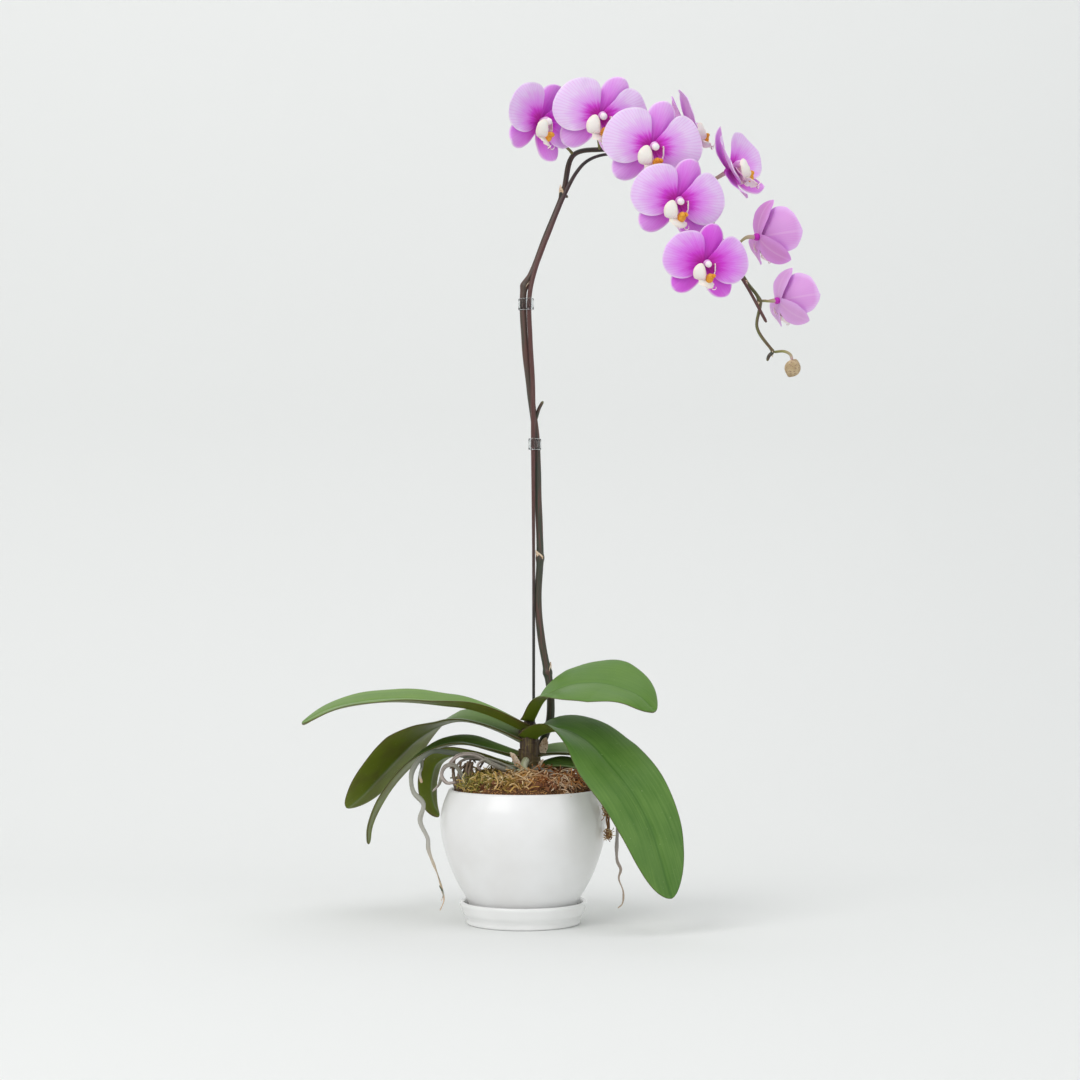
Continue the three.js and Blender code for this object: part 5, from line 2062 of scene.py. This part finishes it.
    def build(self, flowers: Sequence[Flower]) -> None:
        """Makes the spike, its flower stalks, bracts and bud.

        Args:
            flowers: The flowers that it carries.
        """
        stubs = [
            tube(Line(points), ((0, 1.6), (1, 1.2)), sides=12, steps=12)
            for points in (
                ((9.4, 16, 393), (12.4, 15.2, 402), (15.4, 14.6, 407.5)), ((31, 16, 571), (35, 15, 568.5)),
                ((194.5, -9, 444), (191, -10, 441), (189.5, -11, 437))
            )
        ]
        piece("spike_stalk", joined([self.main_stalk(), *stubs]), self.flesh, "spike", "flower_spike")
        tip = self.line[-1]
        bud_stalk = tube(
            Line([tip, (203, -9, 444.5), (207.5, -9.6, 442), (209, -10, 437.6)]), ((0, 1.0), (1, 1.2)), sides=12,
            steps=30
        )
        pedicels = [self.pedicel(flower, *self.stalks[k]) for k, flower in enumerate(flowers)]
        piece("spike_pedicels", joined([*pedicels, bud_stalk]), self.stalk, "spike", "flower_spike")
        piece("spike_bracts", self.bracts(), self.dry, "spike", "flower_spike")
        bud = blob((6.3, 5.9, 6.4), rings=40, around=48)
        turn = np.arctan2(bud.points[:, 1], bud.points[:, 0])
        bud.points *= (
            1 + 0.045 * np.cos(3 * turn + 0.6) - 0.05 * np.exp(-((np.sin(1.5 * turn + 0.3) / 0.12) ** 2))
        )[:, None]
        bud.points[:, 2] += 0.9 * np.exp(
            -((bud.points[:, 0] ** 2 + bud.points[:, 1] ** 2) / 6)
        ) * np.sign(-bud.points[:, 2]) * -1
        lean = math.radians(24)
        tilt = np.array([[math.cos(lean), 0, math.sin(lean)], [0, 1, 0], [-math.sin(lean), 0, math.cos(lean)]])
        piece("bud_closed", bud.moved(tilt, self.bud), self.bud_skin, "bud", "flower_bud")


@dataclass
class Support:
    """The bent stake and the clear clips that hold the spike to it. Lengths are millimetres."""

    radius: float = 1.5
    line: tuple[Point, ...] = (
        (8, 18, 70), (8, 18, 180), (8, 14, 270), (7.6, 11, 370), (7.4, 10, 420), (5.4, 9.6, 456), (4.8, 9.2, 490),
        (9.6, 9.6, 512), (20.8, 10.4, 542),
        (30.5, 10.4, 566), (41.5, 10, 587), (50, 9, 596), (63, 9, 601), (82, 8, 600), (108, -2, 583), (137, -5, 550),
        (160, -8, 517),
        (174, -9, 495), (189, -10, 467),
    )
    clip_heights: tuple[float, ...] = (369, 479)
    clip_height: float = 9.0
    clip_wall: float = 0.7
    clip_radius: float = 3.0
    clip_around: int = 56
    wire: CoatedWire = CoatedWire("plastic_coated_wire", roughness=0.38, ior=1.5)
    clear: ClearAcrylic = ClearAcrylic("clear_acrylic", roughness=0.05, ior=1.3)

    def band(self, height: float, spike: Spike, number: int) -> None:
        """Makes one clip.

        Args:
            height: Its lower edge.
            spike: What it holds.
            number: 0 for the lower clip, 1 for the upper.
        """
        middle = height + self.clip_height / 2
        ends = []
        for points in (self.line, spike.line):
            dense = Line(points).dense
            ends.append(dense[int(np.argmax(dense[:, 2] >= middle))])
        one, two = ends
        centre, way = (one + two) / 2, (two - one) * (1, 1, 0)
        half, way = np.linalg.norm(way) / 2, unit(way[None])[0]
        side = np.cross((0, 0, 1.0), way)
        turns = np.linspace(0, 2 * math.pi, self.clip_around, endpoint=False)
        push = np.clip(np.cos(turns) * 6, -1, 1) * half
        loops = []
        inner, outer = self.clip_radius, self.clip_radius + self.clip_wall
        for radius, z in (
            (inner, 0.3), (inner, 0.5), (inner, 0.95), (outer - 0.25, 1.0), (outer, 0.93), (outer, 0.07),
            (outer - 0.25, 0.0), (inner, 0.05)
        ):
            flat = way[None] * (
                push + radius * np.cos(turns)
            )[:, None] + side[None] * (radius * np.sin(turns))[:, None]
            loops.append(flat + (centre[0], centre[1], height + self.clip_height * z))
        node = ("clip_lower", "clip_upper")[number]
        piece(f"{node}_band", looped(np.array(loops)), self.clear, "clear_plastic", node)

    def build(self, spike: Spike) -> None:
        """Makes the stake and its clips.

        Args:
            spike: What the stake holds up.
        """
        size = self.radius
        radii = (
            (0, size * 0.75), (0.3, size * 0.8), (0.42, size * 1.2), (0.66, size * 1.2), (0.75, size * 0.75),
            (1, size * 0.82)
        )
        piece(
            "stake_wire", tube(Line(self.line), radii, sides=16, steps=420), self.wire, "stake_coating",
            "support_stake"
        )
        for number, height in enumerate(self.clip_heights):
            self.band(height, spike, number)


# ---- Studio ----


@dataclass
class Lamp:
    """One soft light. Lengths are metres."""

    name: str
    at: Point
    size: float
    power: float
    colour: tuple[float, float, float] = (1.0, 1.0, 1.0)
    aim: Point = (0.03, 0.0, 0.3)

    def build(self) -> None:
        """Makes the light and aims it."""
        light = bpy.data.lights.new(self.name, "AREA")
        light.shape, light.size, light.energy, light.color = "SQUARE", self.size, self.power, self.colour
        obj = bpy.data.objects.new(self.name, light)
        obj.location = self.at
        obj.rotation_euler = (Vector(self.aim) - Vector(self.at)).to_track_quat("-Z", "Y").to_euler()
        bpy.context.scene.collection.objects.link(obj)


@dataclass
class Studio:
    """A pale sweep of floor and wall, soft lights and the camera. Lengths are metres."""

    wall_distance: float = 0.75
    corner: float = 0.45
    front: float = -4.0
    wall_top: float = 4.0
    half_width: float = 5.0
    world: tuple[float, float, float, float] = (0.93, 0.95, 0.96, 1.0)
    world_strength: float = 0.5
    camera_at: Point = (0.013, -1.833, 0.271)
    camera_aim: Point = (0.013, 0.0, 0.298)
    lens: float = 78.3
    paint: MattePaint = MattePaint("matte_studio_paint", roughness=0.9, colour="#eeefee")
    lamps: tuple[Lamp, ...] = (
        Lamp("window", (-1.3, -1.7, 1.9), 1.5, 25, (1.0, 0.99, 0.975)),
        Lamp("overhead", (0.2, -0.3, 2.4), 2.0, 14),
        Lamp("fill", (1.8, -1.6, 0.9), 1.8, 6.5, (0.97, 0.985, 1.0)),
    )

    def sweep(self) -> None:
        """Makes the floor that curves up into a wall behind."""
        turns = np.linspace(0, math.pi / 2, 24)
        start = self.wall_distance - self.corner
        track = [(self.front, 0.0), (start - 1.0, 0.0)]
        track += [(start + self.corner * math.sin(t), self.corner * (1 - math.cos(t))) for t in turns]
        track += [(self.wall_distance, self.wall_top)]
        points = [(x * 1000, y * 1000, z * 1000) for y, z in track for x in (-self.half_width, self.half_width)]
        faces = [(2 * k, 2 * k + 1, 2 * k + 3, 2 * k + 2) for k in range(len(track) - 1)]
        rows = np.array(points)
        mesh = bpy.data.meshes.new("studio_sweep")
        mesh.from_pydata((rows * MM).tolist(), [], faces)
        mesh.polygons.foreach_set("use_smooth", [True] * len(mesh.polygons))
        mesh.materials.append(self.paint.material())
        obj = bpy.data.objects.new("studio_sweep", mesh)
        bpy.context.scene.collection.objects.link(obj)

    def camera(self) -> None:
        """Makes the camera."""
        data = bpy.data.cameras.new("camera")
        data.lens, data.sensor_width = self.lens, 36.0
        obj = bpy.data.objects.new("camera", data)
        obj.location = self.camera_at
        obj.rotation_euler = (Vector(self.camera_aim) - Vector(self.camera_at)).to_track_quat("-Z", "Y").to_euler()
        bpy.context.scene.collection.objects.link(obj)
        bpy.context.scene.camera = obj

    def build(self) -> None:
        """Makes the whole studio."""
        self.camera()
        self.sweep()
        for lamp in self.lamps:
            lamp.build()
        world = bpy.data.worlds.new("studio_world")
        world.use_nodes = True
        background = world.node_tree.nodes["Background"]
        background.inputs["Color"].default_value = self.world
        background.inputs["Strength"].default_value = self.world_strength
        bpy.context.scene.world = world
        bpy.context.scene.view_settings.view_transform = "Standard"


def main() -> None:
    """Builds the orchid piece by piece and reports each."""
    logging.basicConfig(level=logging.INFO, format="%(name)s %(message)s")
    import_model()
    Studio().build()
    Pot().build()
    Medium().build()
    Crown().build()
    Foliage().build()
    Roots().build()
    spike = Spike()
    spike.build(FLOWERS)
    Support().build(spike)
    for flower in FLOWERS:
        flower.build()
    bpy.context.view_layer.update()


if __name__ == "__main__":
    main()
